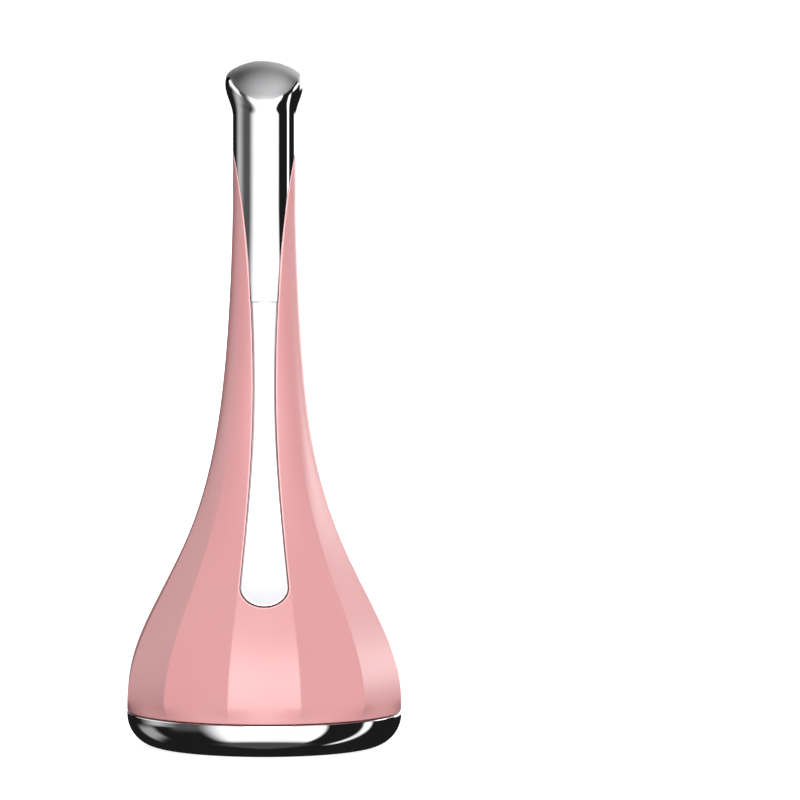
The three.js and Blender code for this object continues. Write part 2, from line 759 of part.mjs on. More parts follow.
function heatSink() {
  const plate = slab(sinkSize, sinkBottom, sinkBase);
  const pitch = (sinkSize - finThickness) / (finCount - 1);
  const fins = Array.from({ length: finCount }, (_, i) => {
    const x = i * pitch - sinkSize / 2;
    return box(x, x + finThickness, -sinkSize / 2, sinkSize / 2, finBottom - sinkBase / 2, finTop);
  });
  const ears = [
    box(-earReach, earReach, -earHalf, earHalf, sinkBottom, finBottom),
    box(-earHalf, earHalf, -earReach, earReach, sinkBottom, finBottom),
  ];
  const holes = sinkPlaces.map(({ x, y }) => barZ(threadRadius(sinkScrew), x, y, 0, finTop + past));
  const heads = sinkPlaces.map(({ x, y }) => barZ(sinkScrew.head + gap, x, y, finBottom, finTop + past));
  const turnedDown = barZ(carrierInner - gap, 0, 0, 0, finTop + past, roundSteps);
  return without(union([plate, ...fins, ...ears]).intersect(turnedDown), [...holes, ...heads]);
}

// Spine
function spineBody() {
  const webBottom = spineTop - spineWeb;
  const lowLedge = bootBottom - gap;
  const highLedge = motorTop + gap;
  const ledgeInner = tubeInner - ledgeReach;
  return turned([
    [footHole, footBottom],
    [footRadius, footBottom],
    [footRadius, footTop],
    [cradleOuter, footTop],
    [cradleOuter, coneBottom],
    [tubeOuter, coneTop],
    [tubeOuter, spineTop],
    [threadRadius(tipScrew), spineTop],
    [threadRadius(tipScrew), webBottom],
    [tubeInner, webBottom],
    [tubeInner, highLedge + ledge],
    [ledgeInner, highLedge + ledge],
    [ledgeInner, highLedge],
    [tubeInner, highLedge],
    [tubeInner, lowLedge],
    [ledgeInner, lowLedge],
    [ledgeInner, lowLedge - ledge],
    [tubeInner, lowLedge - ledge],
    [tubeInner, coneTop],
    [cradleInner, coneBottom],
    [cradleInner, footTop + cellSeat],
    [cellSeatInner, footTop + cellSeat],
    [cellSeatInner, footTop],
    [footHole, footTop],
  ], tubeSteps);
}

const footScrewHoles = () =>
  fourRound(spineScrewRing, spineScrewAngle).map(({ x, y }) =>
    barZ(threadRadius(largeScrew), x, y, footBottom - past, footTop + gap / 2),
  );

// Board posts on the cradle, which end inside its wall
function standoffs(places, y0, y1) {
  const inside = barZ(cradleInner + cradleWall / 2, 0, 0, footTop, coneBottom, tubeSteps);
  return union(places.map(([x, z]) => barY(standoffRadius, x, z, y0, y1))).subtract(inside);
}

const keyScrewHeights = [
  keyBoardBottom + boardScrewInset,
  keyBoardBottom + keyBoardLength - boardScrewInset,
];

function spineFront() {
  const posts = standoffs(keyScrewHeights.map((z) => [0, z]), -boardInner, 0);
  const threads = keyScrewHeights.map((z) => barY(threadRadius(smallScrew), 0, z, -reach, -threadEnd));
  const earInner = lugHalf + gap;
  const ears = [-1, 1].map((side) => {
    const ends = [side * earInner, side * (earInner + hingeEarThickness)].sort((a, b) => a - b);
    return barX(hingeEarRadius, -pivotDepth, pivotHeight, ...ends);
  });
  const room = lugRadius + gap;
  const window = box(
    -earInner, earInner, -reach, -pivotDepth + room, pivotHeight - room, pivotHeight + room,
  );
  const pinHole = barX(pinRadius + pinClearance, -pivotDepth, pivotHeight, -past, past);
  const half = spineBody().intersect(box(-reach, reach, -reach, 0, 0, spineTop));
  const body = union([half, posts, ...ears]);
  return without(body, [window, pinHole, ...threads, ...footScrewHoles()]);
}

function spineRear() {
  const places = [-mainScrewX, mainScrewX];
  const posts = standoffs(places.map((x) => [x, mainScrewHeight]), 0, boardInner);
  const threads = places.map((x) =>
    barY(threadRadius(smallScrew), x, mainScrewHeight, threadEnd, reach),
  );
  const half = leadRadius + 2 * gap;
  const coolerHoles = [-1, 1].map((side) =>
    barZ(half, side * coolerLead.x, coolerLead.y, footBottom - past, footTop + past),
  );
  const wireSlot = box(-wireSlotHalf, wireSlotHalf, past, reach, wireSlotBottom, wireSlotTop);
  const lowWindow = box(-half, half, past, cradleOuter + gap, footTop, cellBottom + gap);
  const body = spineBody().intersect(box(-reach, reach, 0, reach, 0, spineTop));
  return without(body.add(posts), [
    wireSlot,
    lowWindow,
    ...threads,
    ...coolerHoles,
    ...footScrewHoles(),
  ]);
}

// Cell and motor
const cellTab = (bottom, reachBack) =>
  box(-tabHalf, tabHalf, reachBack - tabLength, reachBack, bottom, bottom + tabThickness);

function batteryCell() {
  const body = barZ(cellRadius, 0, 0, cellBottom, cellTop, tubeSteps);
  const groove = turned([
    [cellRadius - 0.4, cellTop - 2.4],
    [cellRadius + past, cellTop - 2.4],
    [cellRadius + past, cellTop - 1.6],
    [cellRadius - 0.4, cellTop - 1.6],
  ], tubeSteps);
  return body.subtract(groove);
}

function vibrationMotor() {
  const body = barZ(motorRadius, 0, 0, motorBottom, motorTop, tubeSteps);
  const bore = shaftRadius + pinClearance;
  return body.subtract(barZ(bore, 0, 0, motorTop - shaftInside - gap, motorTop + past));
}

function motorBoot() {
  return turned([
    [bootHole, bootBottom],
    [bootOuter, bootBottom],
    [bootOuter, motorTop],
    [bootInner, motorTop],
    [bootInner, bootBottom + bootFloor],
    [bootHole, bootBottom + bootFloor],
  ], tubeSteps);
}

function eccentricWeight() {
  const outline = new THREE.Shape();
  outline.absarc(0, 0, weightRadius, Math.PI, 2 * Math.PI, false);
  outline.absarc(0, 0, weightHub, 0, Math.PI, false);
  const bore = new THREE.Path();
  bore.absarc(0, 0, shaftRadius + pinClearance, 0, 2 * Math.PI, true);
  outline.holes.push(bore);
  const settings = { depth: weightHeight, bevelEnabled: false, curveSegments: 8 };
  const bottom = motorTop + weightAbove;
  return solid(new THREE.ExtrudeGeometry(outline, settings).translate(0, 0, bottom));
}

// Key: a strip of the bell's own skin with a hinge lug near its top and a post over the switch
function frontKey() {
  const strip = skin(0).subtract(skin(keyThickness));
  const behindFace = skin(keyThickness / 2);
  const ribBack = skin(keyThickness + keyRibDepth);
  const foot = slotBottom + gap + keyDrop;
  const outline = frontInlay(-gap, foot).intersect(box(-reach, reach, -reach, 0, 0, seamHeight - gap));
  const ribBottom = switchHeight + keyRibAbove;
  const ribSide = box(-keyRibHalf, keyRibHalf, -reach, 0, ribBottom, ribBottom + keyRibLength);
  const rib = behindFace.subtract(ribBack).intersect(ribSide);
  const post = barY(keyPostRadius, 0, switchHeight, -reach, -keyPostEnd).intersect(behindFace);
  const lugTop = pivotHeight + lugRadius;
  const lugBottom = pivotHeight - lugRadius;
  const web = box(-lugHalf, lugHalf, -reach, -pivotDepth, lugBottom, lugTop).intersect(behindFace);
  const knuckle = barX(lugRadius, -pivotDepth, pivotHeight, -lugHalf, lugHalf);
  const pinHole = barX(pinRadius + pinClearance, -pivotDepth, pivotHeight, -past, past);
  return union([strip.intersect(outline), rib, post, web, knuckle]).subtract(pinHole);
}

// Boards, switch and socket
const boardHoles = (places) =>
  places.map(([x, z]) => barY(threadRadius(smallScrew), x, z, -reach, reach));

function keyBoard() {
  const top = keyBoardBottom + keyBoardLength;
  const body = box(-keyBoardHalf, keyBoardHalf, -boardOuter, -boardInner, keyBoardBottom, top);
  return without(body, boardHoles(keyScrewHeights.map((z) => [0, z])));
}

function mainBoard() {
  const top = mainBoardBottom + mainBoardLength;
  const body = box(-mainBoardHalf, mainBoardHalf, boardInner, boardOuter, mainBoardBottom, top);
  return without(body, boardHoles([-mainScrewX, mainScrewX].map((x) => [x, mainScrewHeight])));
}

function chargeBoard() {
  const bottom = chargeBoardTop - boardThickness;
  const half = chargeBoardHalf;
  const body = box(-half, half, chargeBoardFront, chargeBoardBack, bottom, chargeBoardTop);
  const holes = [-chargeScrewX, chargeScrewX].map((x) =>
    barZ(threadRadius(smallScrew), x, chargeScrewY, 0, finTop),
  );
  return without(body, holes);
}

function chargeSocket() {
  const front = portFloor - gap / 2;
  const back = front - socketLength;
  const outside = prismY(stadium(socketHalf, socketHeight, socketMiddle), back, front, 5);
  const inner = stadium(socketHalf - socketWall, socketHeight - 2 * socketWall, socketMiddle);
  const hollow = prismY(inner, back + socketBack, front + past, 5);
  const low = socketMiddle - tongueThickness / 2;
  const high = socketMiddle + tongueThickness / 2;
  const tongue = box(-tongueHalf, tongueHalf, back + socketBack / 2, front - tongueInset, low, high);
  return outside.subtract(hollow).add(tongue);
}

function switchBody() {
  const half = switchSize / 2;
  const body = box(-half, half, -switchFront, -boardOuter, switchHeight - half, switchHeight + half);
  const pocket = barY(plungerRadius + gap, 0, switchHeight, -switchFront - past, switchPocket - switchFront);
  return body.subtract(pocket);
}

const switchPlunger = () =>
  barY(plungerRadius, 0, switchHeight, gap - keyPostEnd, plungerSeated - switchFront);

// A film bent round the cell's cradle, from the key's board to the main one
function keyRibbon() {
  const outer = boardInner - gap;
  const start = -Math.PI / 2 + 0.05;
  const film = new THREE.Shape();
  film.absarc(0, 0, outer, start, -start, false);
  film.absarc(0, 0, outer - ribbonThickness, -start, start, true);
  const settings = { depth: ribbonWidth, bevelEnabled: false, curveSegments: 10 };
  const bottom = ribbonHeight - ribbonWidth / 2;
  return solid(new THREE.ExtrudeGeometry(film, settings).translate(0, 0, bottom));
}

// A lead along points that were chosen by hand
function lead(points) {
  const path = new THREE.CatmullRomCurve3(points.map((p) => new THREE.Vector3(...p)));
  const section = new THREE.Shape();
  section.absarc(0, 0, leadRadius, 0, 2 * Math.PI, false);
  const settings = { steps: leadSteps, extrudePath: path, bevelEnabled: false, curveSegments: 3 };
  return solid(new THREE.ExtrudeGeometry(section, settings));
}

const leadEnd = boardOuter + leadRadius + gap;
const coreMiddle = coreBottom + legHeight / 2;
const chargeEnd = mainScrewHeight - leadUnderScrew;
const coolerRoute = [
  [coolerLead.x, coolerSize / 2 + leadRadius, coreMiddle],
  [coolerLead.x, coolerLead.y - 0.4, coreMiddle + 0.5],
  [coolerLead.x, coolerLead.y, finBottom + 0.5],
  [coolerLead.x, coolerLead.y, finTop - 4],
  [coolerLead.x, coolerLead.y, finTop + 1],
  [coolerLead.x, coolerLead.y - 0.1, footTop + 0.5],
  [3.8, coolerLead.y - 1.8, footTop + 3.1],
  [3.2, leadEnd + 0.55, footTop + 4.3],
  [3, leadEnd, footTop + 6.1],
];
const chargeRoute = [
  [6.6, chargeBoardFront + 0.6, 18],
  [6.7, chargeBoardFront + 1.6, 20.5],
  [6.6, chargeBoardFront + 1.8, 23.4],
  [6.4, chargeBoardFront + 1.1, 26.4],
  [5.9, 17.6, footTop + 3.4],
  [5.2, 13.2, chargeEnd - 2.2],
  [5, leadEnd, chargeEnd],
];
const motorRoute = [
  [0.95, 0, 104.2],
  [0.95, 0.4, 98],
  [1, 1.8, 89],
  [1.2, 3.3, 81.5],
  [1.5, 5.6, 73],
  [1.6, 7.6, 67],
  [1.6, 7.95, 61],
  [1.6, 8.2, 56],
  [1.6, 9.2, 53],
  [1.6, 11.2, 51.6],
  [1.6, leadEnd + gap, 47.4],
];
const cellTopRoute = [
  [0, 2.6, 66.4],
  [0, 5.8, 67.4],
  [0, 8, 65.2],
  [0, 8, 60.5],
  [0, 8.2, 56],
  [0, 9.2, 53],
  [0, 11.2, 51.6],
  [0, leadEnd + gap, 47.4],
];
const cellBottomRoute = [
  [0, 2.6, 26.2],
  [0, 6, 26.2],
  [0, 9.6, 26.2],
  [0, 11.6, 27],
  [0, leadEnd, 29.8],
];
const mirrored = (route) => route.map(([x, y, z]) => [-x, y, z]);

// The whole device, sub-assembly by sub-assembly
function screwRing(name, size, places, seat, direction) {
  return places.map(({ x, y }, i) => screw(`${name}_${i + 1}`, size, x, y, seat, direction));
}

const housing = assembly(
  piece("bell_housing", bellHousing(), pinkShell),
  piece("neck_head", neckHead(), chrome),
  screw("tip_screw", tipScrew, 0, 0, spineTop - spineWeb, "up"),
);

const base = assembly(
  piece("cold_plate", coldPlate(), chrome),
  piece("plate_seal", plateSeal(), rubber),
  piece("base_carrier", baseCarrier(), blackFrame),
  ...screwRing(
    "carrier_screw",
    largeScrew,
    fourRound(carrierScrewRing, carrierScrewAngle),
    carrierBottom + largeScrew.headHeight,
    "up",
  ),
);

const cooler = assembly(
  piece("thermal_pad_cold", slab(coolerSize, plateFloor, padThickness), greyPad),
  piece("tec_cold_ceramic", slab(coolerSize, coldCeramicBottom, ceramicThickness), whiteCeramic),
  piece("tec_core", coolerCore(), copper),
  piece("tec_hot_ceramic", slab(coolerSize, hotCeramicBottom, ceramicThickness), whiteCeramic),
  piece("thermal_pad_hot", slab(coolerSize, hotPadBottom, padThickness), greyPad),
  piece("insulation_foam", insulationFoam(), darkFoam),
  piece("heat_sink", heatSink(), aluminium),
  ...screwRing(
    "heat_sink_screw",
    sinkScrew,
    sinkPlaces,
    finBottom,
    "down",
  ),
);

const spine = assembly(
  piece("spine_front", spineFront(), blackFrame),
  piece("spine_rear", spineRear(), blackFrame),
  ...screwRing(
    "spine_screw",
    largeScrew,
    fourRound(spineScrewRing, spineScrewAngle),
    footBottom,
    "up",
  ),
);

const cell = assembly(
  piece("battery_cell", batteryCell(), cellBlue, [0, 0, cellBottom]),
  piece("cell_tab_top", cellTab(cellTop, tabLength / 2), steel, [0, 0, cellTop]),
  piece("cell_tab_bottom", cellTab(cellBottom - tabThickness, tabLength / 2), steel, [0, 0, cellBottom]),
);

const vibrator = assembly(
  piece("motor_boot", motorBoot(), rubber, [0, 0, motorBottom]),
  piece("vibration_motor", vibrationMotor(), satinSteel, [0, 0, motorBottom]),
  piece("motor_shaft", barZ(shaftRadius, 0, 0, motorTop - shaftInside, motorTop + shaftOutside), steel),
  piece("eccentric_weight", eccentricWeight(), copper, [0, 0, motorTop + weightAbove]),
);

const pivot = [0, -pivotDepth, pivotHeight];
const pinHalf = lugHalf + gap + hingeEarThickness;
const key = assembly(
  piece("front_key", frontKey(), chrome, pivot),
  piece("key_pivot_pin", barX(pinRadius, -pivotDepth, pivotHeight, -pinHalf, pinHalf), steel, pivot),
  piece("switch_plunger", switchPlunger(), rubber, [0, -switchFront, switchHeight]),
  piece("switch_body", switchBody(), blackFrame, [0, -switchFront, switchHeight]),
);

const electronics = assembly(
  piece("key_board", keyBoard(), boardGreen),
  ...keyScrewHeights.map((z, i) =>
    screw(`key_board_screw_${i + 1}`, smallScrew, 0, -boardOuter, z, "back"),
  ),
  piece("main_board", mainBoard(), boardGreen),
  ...[-mainScrewX, mainScrewX].map((x, i) =>
    screw(`main_board_screw_${i + 1}`, smallScrew, x, boardOuter, mainScrewHeight, "front"),
  ),
  piece("charge_board", chargeBoard(), boardGreen),
  ...[-chargeScrewX, chargeScrewX].map((x, i) =>
    screw(`charge_board_screw_${i + 1}`, smallScrew, x, chargeScrewY, chargeBoardTop, "down"),
  ),
  piece("usb_socket", chargeSocket(), steel),
  piece("key_ribbon", keyRibbon(), amberFilm),
);

const leads = assembly(
  piece("cooler_lead_red", lead(coolerRoute), redWire),
  piece("cooler_lead_black", lead(mirrored(coolerRoute)), blackWire),
  piece("charge_lead_red", lead(chargeRoute), redWire),
  piece("charge_lead_black", lead(mirrored(chargeRoute)), blackWire),
  piece("motor_lead_red", lead(motorRoute), redWire),
  piece("motor_lead_black", lead(mirrored(motorRoute)), blackWire),
  piece("cell_lead_red", lead(cellTopRoute), redWire),
  piece("cell_lead_black", lead(cellBottomRoute), blackWire),
);

export default assembly(housing, base, cooler, spine, cell, vibrator, key, electronics, leads);
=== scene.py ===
import bpy
import numpy as np
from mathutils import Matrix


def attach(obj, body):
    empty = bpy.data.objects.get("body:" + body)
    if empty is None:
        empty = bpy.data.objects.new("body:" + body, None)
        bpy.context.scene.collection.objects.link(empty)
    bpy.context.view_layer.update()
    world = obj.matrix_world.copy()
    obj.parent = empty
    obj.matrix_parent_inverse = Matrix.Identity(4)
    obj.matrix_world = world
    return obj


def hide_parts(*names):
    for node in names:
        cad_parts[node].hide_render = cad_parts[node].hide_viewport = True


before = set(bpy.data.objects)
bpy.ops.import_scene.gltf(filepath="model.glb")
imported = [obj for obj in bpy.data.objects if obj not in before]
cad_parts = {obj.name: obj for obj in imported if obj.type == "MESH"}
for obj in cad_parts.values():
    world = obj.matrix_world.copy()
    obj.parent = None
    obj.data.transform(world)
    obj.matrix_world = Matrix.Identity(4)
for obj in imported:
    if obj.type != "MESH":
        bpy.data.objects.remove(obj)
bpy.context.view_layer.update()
print("frame loaded:", len(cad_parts), "solids")

# Lengths are in millimetres here and become metres in makeMesh.
# Angles run from the front, -Y, round through +X.

toMetres = 0.001
joinSteps = 2e4  # points are joined where they round to the same place at this many steps a millimetre
tiny = 1e-6  # keeps a division away from zero
curveSteps = 400
rimSteps = 5  # points round each of the two rounded edges of a rim
cornerSteps = 5  # and round a corner of the seam between the key and the neck

# Pink shell, from its rim up to the neck
shell = {
    "rimRadius": 30.0,
    "rimHeight": 7.8,
    "neckRadius": 6.85,
    "flareHalf": 36.8,  # above the rim, where the bell curve has dropped to a half
    "flareSharp": 2.5,
    "flareLength": 110.0,  # and where its fade ends
    "flareFade": 2.1,
    "flats": 12,
    "runOut": 3.6,  # the flats rise out of the round rim over this height
    "fade": (34.0, 76.0),  # heights between which they disappear
    "wall": 1.8,
    "petalWall": 1.25,
    "thins": (55.0, 95.0),  # heights between which the wall thins to the petals' wall
    "edge": 0.2,  # rounding of the petals' edges at the back, and of the lower rim
    "slotEdge": 0.34,  # rounding of the slot's edge
    "rollNarrows": (100, 120),  # heights between which that becomes the smaller rounding
    "slotTurns": (98, 108),  # and between which the slot's walls turn from along Y to towards the axis
}

flat = 2 * np.pi / shell["flats"]

# Chrome inlay, as heights and half widths seen from the front, and from the back
inlay = {
    "foot": 32.6,
    "shoulder": 37.0,
    "shoulderHalf": 5.2,
    "waist": 80.0,
    "waistHalf": 2.5,
    "tip": 130.3,
    "backFoot": 86.0,
    "backShoulder": 91.0,
    "gap": 0.12,  # between the chrome and the petals
    # Handles of the curves between these places: up or down by so much, and in or out
    "footPull": 0.6,  # share of the half width
    "roundPull": 2.4,
    "swell": 0.22,
    "taper": 0.85,
    "shoulderPull": 9.0,
    "waistPull": 18.0,
    "tipPull": 13.0,
    "tipHalf": 4.15,
    "pastRound": 0.5,  # how far above the two shoulders the rows of the grids stay close together
    "footRadius": 15.0,  # rough radius that turns angles into lengths there
    "crowding": 1.6,  # how strongly the rows draw together towards the petals' tips
}


def smoothStep(t):
    # Three times the square less twice the cube, held at 0 and at 1
    t = np.clip(t, 0, 1)
    return t * t * (3 - 2 * t)


def ramp(value, low, high):
    # 0 up to low, 1 from high on, smooth between
    return smoothStep((value - low) / (high - low))


def flareRadius(height):
    # The neck's radius plus a share of what the rim has more: a sharp bell curve times a fade that ends at
    # the neck
    rise = np.maximum(height - shell["rimHeight"], 0)
    fade = 1 - np.minimum(rise / shell["flareLength"], 1) ** shell["flareFade"]
    extra = (shell["rimRadius"] - shell["neckRadius"]) * fade
    return shell["neckRadius"] + extra / (1 + (rise / shell["flareHalf"]) ** shell["flareSharp"])


def skinRadius(angle, height):
    # The flare's radius over the cosine of the angle to the middle of the nearest flat, where the flats show
    offFlat = angle - np.round(angle / flat) * flat
    share = smoothStep((height - shell["rimHeight"]) / shell["runOut"]) * (1 - ramp(height, *shell["fade"]))
    return flareRadius(height) * (1 + share * (1 / np.cos(offFlat) - 1))


def around(radius, angle, height):
    # Turned about the Z axis: across is the radius times the sine, and front the radius times the cosine
    return np.stack(np.broadcast_arrays(radius * np.sin(angle), -radius * np.cos(angle), height), axis=-1)


def skinPoint(angle, height, depth=0.0):
    # On the skin, or this deep under it
    return around(skinRadius(angle, height) - depth, angle, height)


def wallDepth(height):
    # The bell's wall, which runs over into the petals' thinner one
    return shell["wall"] + (shell["petalWall"] - shell["wall"]) * ramp(height, *shell["thins"])


def bezier(*corners):
    # Cubic curve: the four corners weighted with the terms of ((1 - t) + t) cubed
    t = np.linspace(0, 1, curveSteps)[:, None]
    weights = np.hstack([(1 - t) ** 3, 3 * t * (1 - t) ** 2, 3 * t * t * (1 - t), t ** 3])
    return weights @ np.array(corners, float)


def towardsTip(half, height):
    # Last stretch of both outlines: it leaves straight up and swings out to where the petals end
    leave = (half, height + inlay["waistPull"])
    arrive = (inlay["tipHalf"], inlay["tip"] - inlay["tipPull"])
    return bezier((half, height), leave, arrive, (shell["neckRadius"], inlay["tip"]))


def frontOutline():
    # Half of the slot, as across and up: round foot to the shoulder, in to the waist, and out to the tip
    wide, half, foot = inlay["shoulderHalf"], inlay["waistHalf"], inlay["foot"]
    shoulder, waist = inlay["shoulder"], inlay["waist"]
    intoShoulder = (wide + inlay["swell"], shoulder - inlay["roundPull"])
    offShoulder = (wide - inlay["taper"], shoulder + inlay["shoulderPull"])
    return np.vstack([
        bezier((0, foot), (wide * inlay["footPull"], foot), intoShoulder, (wide, shoulder))[:-1],
        bezier((wide, shoulder), offShoulder, (half, waist - inlay["waistPull"]), (half, waist))[:-1],
        towardsTip(half, waist),
    ])


def backOutline():
    # Half of the V at the back: a round foot, and then as in front
    half, foot, shoulder = inlay["waistHalf"], inlay["backFoot"], inlay["backShoulder"]
    pulls = (half * inlay["footPull"], foot), (half, foot + inlay["roundPull"])
    return np.vstack([bezier((0, foot), *pulls, (half, shoulder))[:-1], towardsTip(half, shoulder)])


def onSkin(outline, back=False):
    # From across and up, as seen from the front, to the angle and height on the skin
    across, height = outline.T
    angle = np.arcsin(np.clip(across / flareRadius(height), 0, 1))
    return np.column_stack([np.pi - angle if back else angle, height])


def outward(curve):
    # Unit normals on the unrolled skin, to the right of the way that the curve runs, as (length, height).
    # The two ends point straight down.
    radius = flareRadius(curve[:, 1])
    step = np.gradient(curve, axis=0)
    along = np.column_stack([step[:, 0] * radius, step[:, 1]])
    along /= np.linalg.norm(along, axis=1)[:, None]
    normal = np.column_stack([along[:, 1], -along[:, 0]])
    normal[0] = normal[-1] = (0, -1)
    return normal


def shifted(curve, normal, distance):
    # Moved along the normals, where a length round the skin is the angle times the radius
    radius = flareRadius(curve[:, 1])
    moved = [curve[:, 0] + normal[:, 0] * distance / radius, curve[:, 1] + normal[:, 1] * distance]
    return np.column_stack(moved)


def petalEdges():
    # The slot's edge in front and the V's edge at the back, each with its normals into the pink
    front, back = onSkin(frontOutline()), onSkin(backOutline(), back=True)
    return (front, np.abs(outward(front)) * (1, -1)), (back, -np.abs(outward(back)))


def atHeights(curve, normal, heights):
    # The curve's angle and normal where it passes the heights
    angle = np.interp(heights, curve[:, 1], curve[:, 0])
    turned = np.column_stack([np.interp(heights, curve[:, 1], normal[:, i]) for i in (0, 1)])
    return angle, turned / np.linalg.norm(turned, axis=1)[:, None]


def footHeights(curve, upTo, count):
    # Heights along the round foot at even steps of its length
    part = curve[curve[:, 1] <= upTo]
    steps = np.hypot(np.diff(part[:, 0]) * inlay["footRadius"], np.diff(part[:, 1]))
    length = np.concatenate([[0], np.cumsum(steps)])
    return np.interp(np.linspace(0, length[-1], count), length, part[:, 1])


def crowdedHeights(low, high, count):
    # From the one height to the other, closer and closer together
    share = np.linspace(0, 1, count)
    return high - (high - low) * (1 - share) ** inlay["crowding"]


def sortedHeights(parts):
    # In order and without repeats
    return np.unique(np.round(np.concatenate(parts), 5))


def arc(centre, radius, start, end, count):
    # Points of a circle between two directions in degrees
    turn = np.radians(np.linspace(start, end, count))
    return [(centre[0] + radius * np.cos(t), centre[1] + radius * np.sin(t)) for t in turn]


def turnedPost(centre, rings, turn):
    # Rings of radius and height about an upright line. A height may be a function of across and back.
    rows = []
    for radius, height in rings:
        x, y = centre[0] + radius * np.sin(turn), centre[1] - radius * np.cos(turn)
        z = height(x, y) if callable(height) else np.full(len(turn), height)
        rows.append(np.column_stack([x, y, z]))
    return np.array(rows)


def straightBehind(angle, height, depth):
    # The angle, at a depth, of what lies behind a place on the face in the direction of Y
    share = 1 - ramp(height, *shell["slotTurns"])
    across = np.sin(angle) * (1 + share * depth / (flareRadius(height) - depth))
    return np.where(share > 0, np.arcsin(np.clip(across, -1, 1)), angle)


def rimStrip(angle, height, normal, thickness, roll, straight=False):
    # A C-shaped section along an edge: out of the front face over a quarter circle, through the wall, and
    # back over another quarter circle to the rear face
    turn = np.linspace(0, np.pi / 2, rimSteps)
    roll = np.broadcast_to(roll, np.shape(angle))[:, None]
    thickness = np.broadcast_to(thickness, np.shape(angle))[:, None]
    outs = np.concatenate([np.sin(turn), np.sin(turn[::-1])]) * roll
    fronts = (1 - np.cos(turn)) * roll
    depths = np.hstack([fronts, thickness - fronts[:, ::-1]])
    turned = angle[:, None] + normal[:, :1] * outs / flareRadius(height)[:, None]
    raised = height[:, None] + normal[:, 1:] * outs
    return skinPoint(straightBehind(turned, raised, depths) if straight else turned, raised, depths)


def gridFaces(rows, columns, start, flip):
    # A quad between each point, the next in its row and the two above them, numbered from start
    first = start + (np.arange(rows - 1)[:, None] * columns + np.arange(columns - 1)).ravel()
    quads = np.column_stack([first, first + 1, first + columns + 1, first + columns])
    return quads[:, ::-1] if flip else quads


def unfolded(faces, slots):
    # Leaves out faces that use a point twice
    ordered = np.sort(faces, axis=1)
    good = (np.diff(ordered, axis=1) > 0).all(axis=1)
    return faces[good], slots[good]


def makeMesh(name, patches, materials):
    # Grids of points and their mirror images across X become one mesh. Points that fall together are joined,
    # a quad that loses one side becomes a triangle, and what shrinks to a line is left out. A patch is
    # (points, flip, material index), and may end with the share of painted highlight for its columns, kept in
    # the edge attribute.
    points, faces, slots, paintedHighlights = [], [], [], []
    count = 0
    for grid, flip, slot, *edge in patches:
        rows, columns = grid.shape[:2]
        for side in (1, -1):
            points.append(grid.reshape(-1, 3) * (side, 1, 1))
            paintedHighlights.append(np.tile(edge[0] if edge else np.zeros(columns), rows))
            faces.append(gridFaces(rows, columns, count, flip != (side < 0)))
            slots.append(np.full(len(faces[-1]), slot))
            count += rows * columns
    points, faces, slots = np.vstack(points), np.vstack(faces), np.concatenate(slots)
    places = np.round(points * joinSteps).astype(np.int64)
    kept, joined = np.unique(places, axis=0, return_index=True, return_inverse=True)[1:]
    faces = joined.ravel()[faces]
    same = faces == np.roll(faces, -1, axis=1)
    whole, single = ~same.any(axis=1), same.sum(axis=1) == 1
    order = (np.argmax(same[single], axis=1)[:, None] + np.arange(1, 4)) % 4
    quads, quadSlots = unfolded(faces[whole], slots[whole])
    triangles, triangleSlots = unfolded(np.take_along_axis(faces[single], order, axis=1), slots[single])
    mesh = bpy.data.meshes.new(name)
    mesh.from_pydata((points[kept] * toMetres).tolist(), [], quads.tolist() + triangles.tolist())
    mesh.polygons.foreach_set("material_index", np.concatenate([quadSlots, triangleSlots]).astype(np.int32))
    # The edge attribute carries each point's share of painted highlight
    attribute = mesh.attributes.new("edge", "FLOAT", "POINT")
    attribute.data.foreach_set("value", np.concatenate(paintedHighlights)[kept].astype(np.float32))
    mesh.shade_smooth()
    mesh.update()
    piece = bpy.data.objects.new(name, mesh)
    bpy.context.scene.collection.objects.link(piece)
    for material in materials:
        mesh.materials.append(material)
    return piece


# Materials


class Value:
    # A number that comes out of a node. Arithmetic on it adds the Math nodes.
    def __init__(self, maker, socket):
        self.maker = maker
        self.socket = socket

    def math(self, operation, *others):
        return self.maker.node("ShaderNodeMath", {"operation": operation}, dict(enumerate([self, *others])))

    def __add__(self, other):
        return self.math("ADD", other)

    __radd__ = __add__

    def __mul__(self, other):
        return self.math("MULTIPLY", other)

    __rmul__ = __mul__

    def __sub__(self, other):
        return self.math("SUBTRACT", other)

    def __rsub__(self, other):
        return self.maker.node("ShaderNodeMath", {"operation": "SUBTRACT"}, {0: other, 1: self})

    def __neg__(self):
        return self * -1

    def step(self, low, high):
        # 0 below low, 1 above high, smooth between
        sockets = {"Value": self, "From Min": low, "From Max": high}
        return self.maker.node("ShaderNodeMapRange", {"interpolation_type": "SMOOTHSTEP"}, sockets)


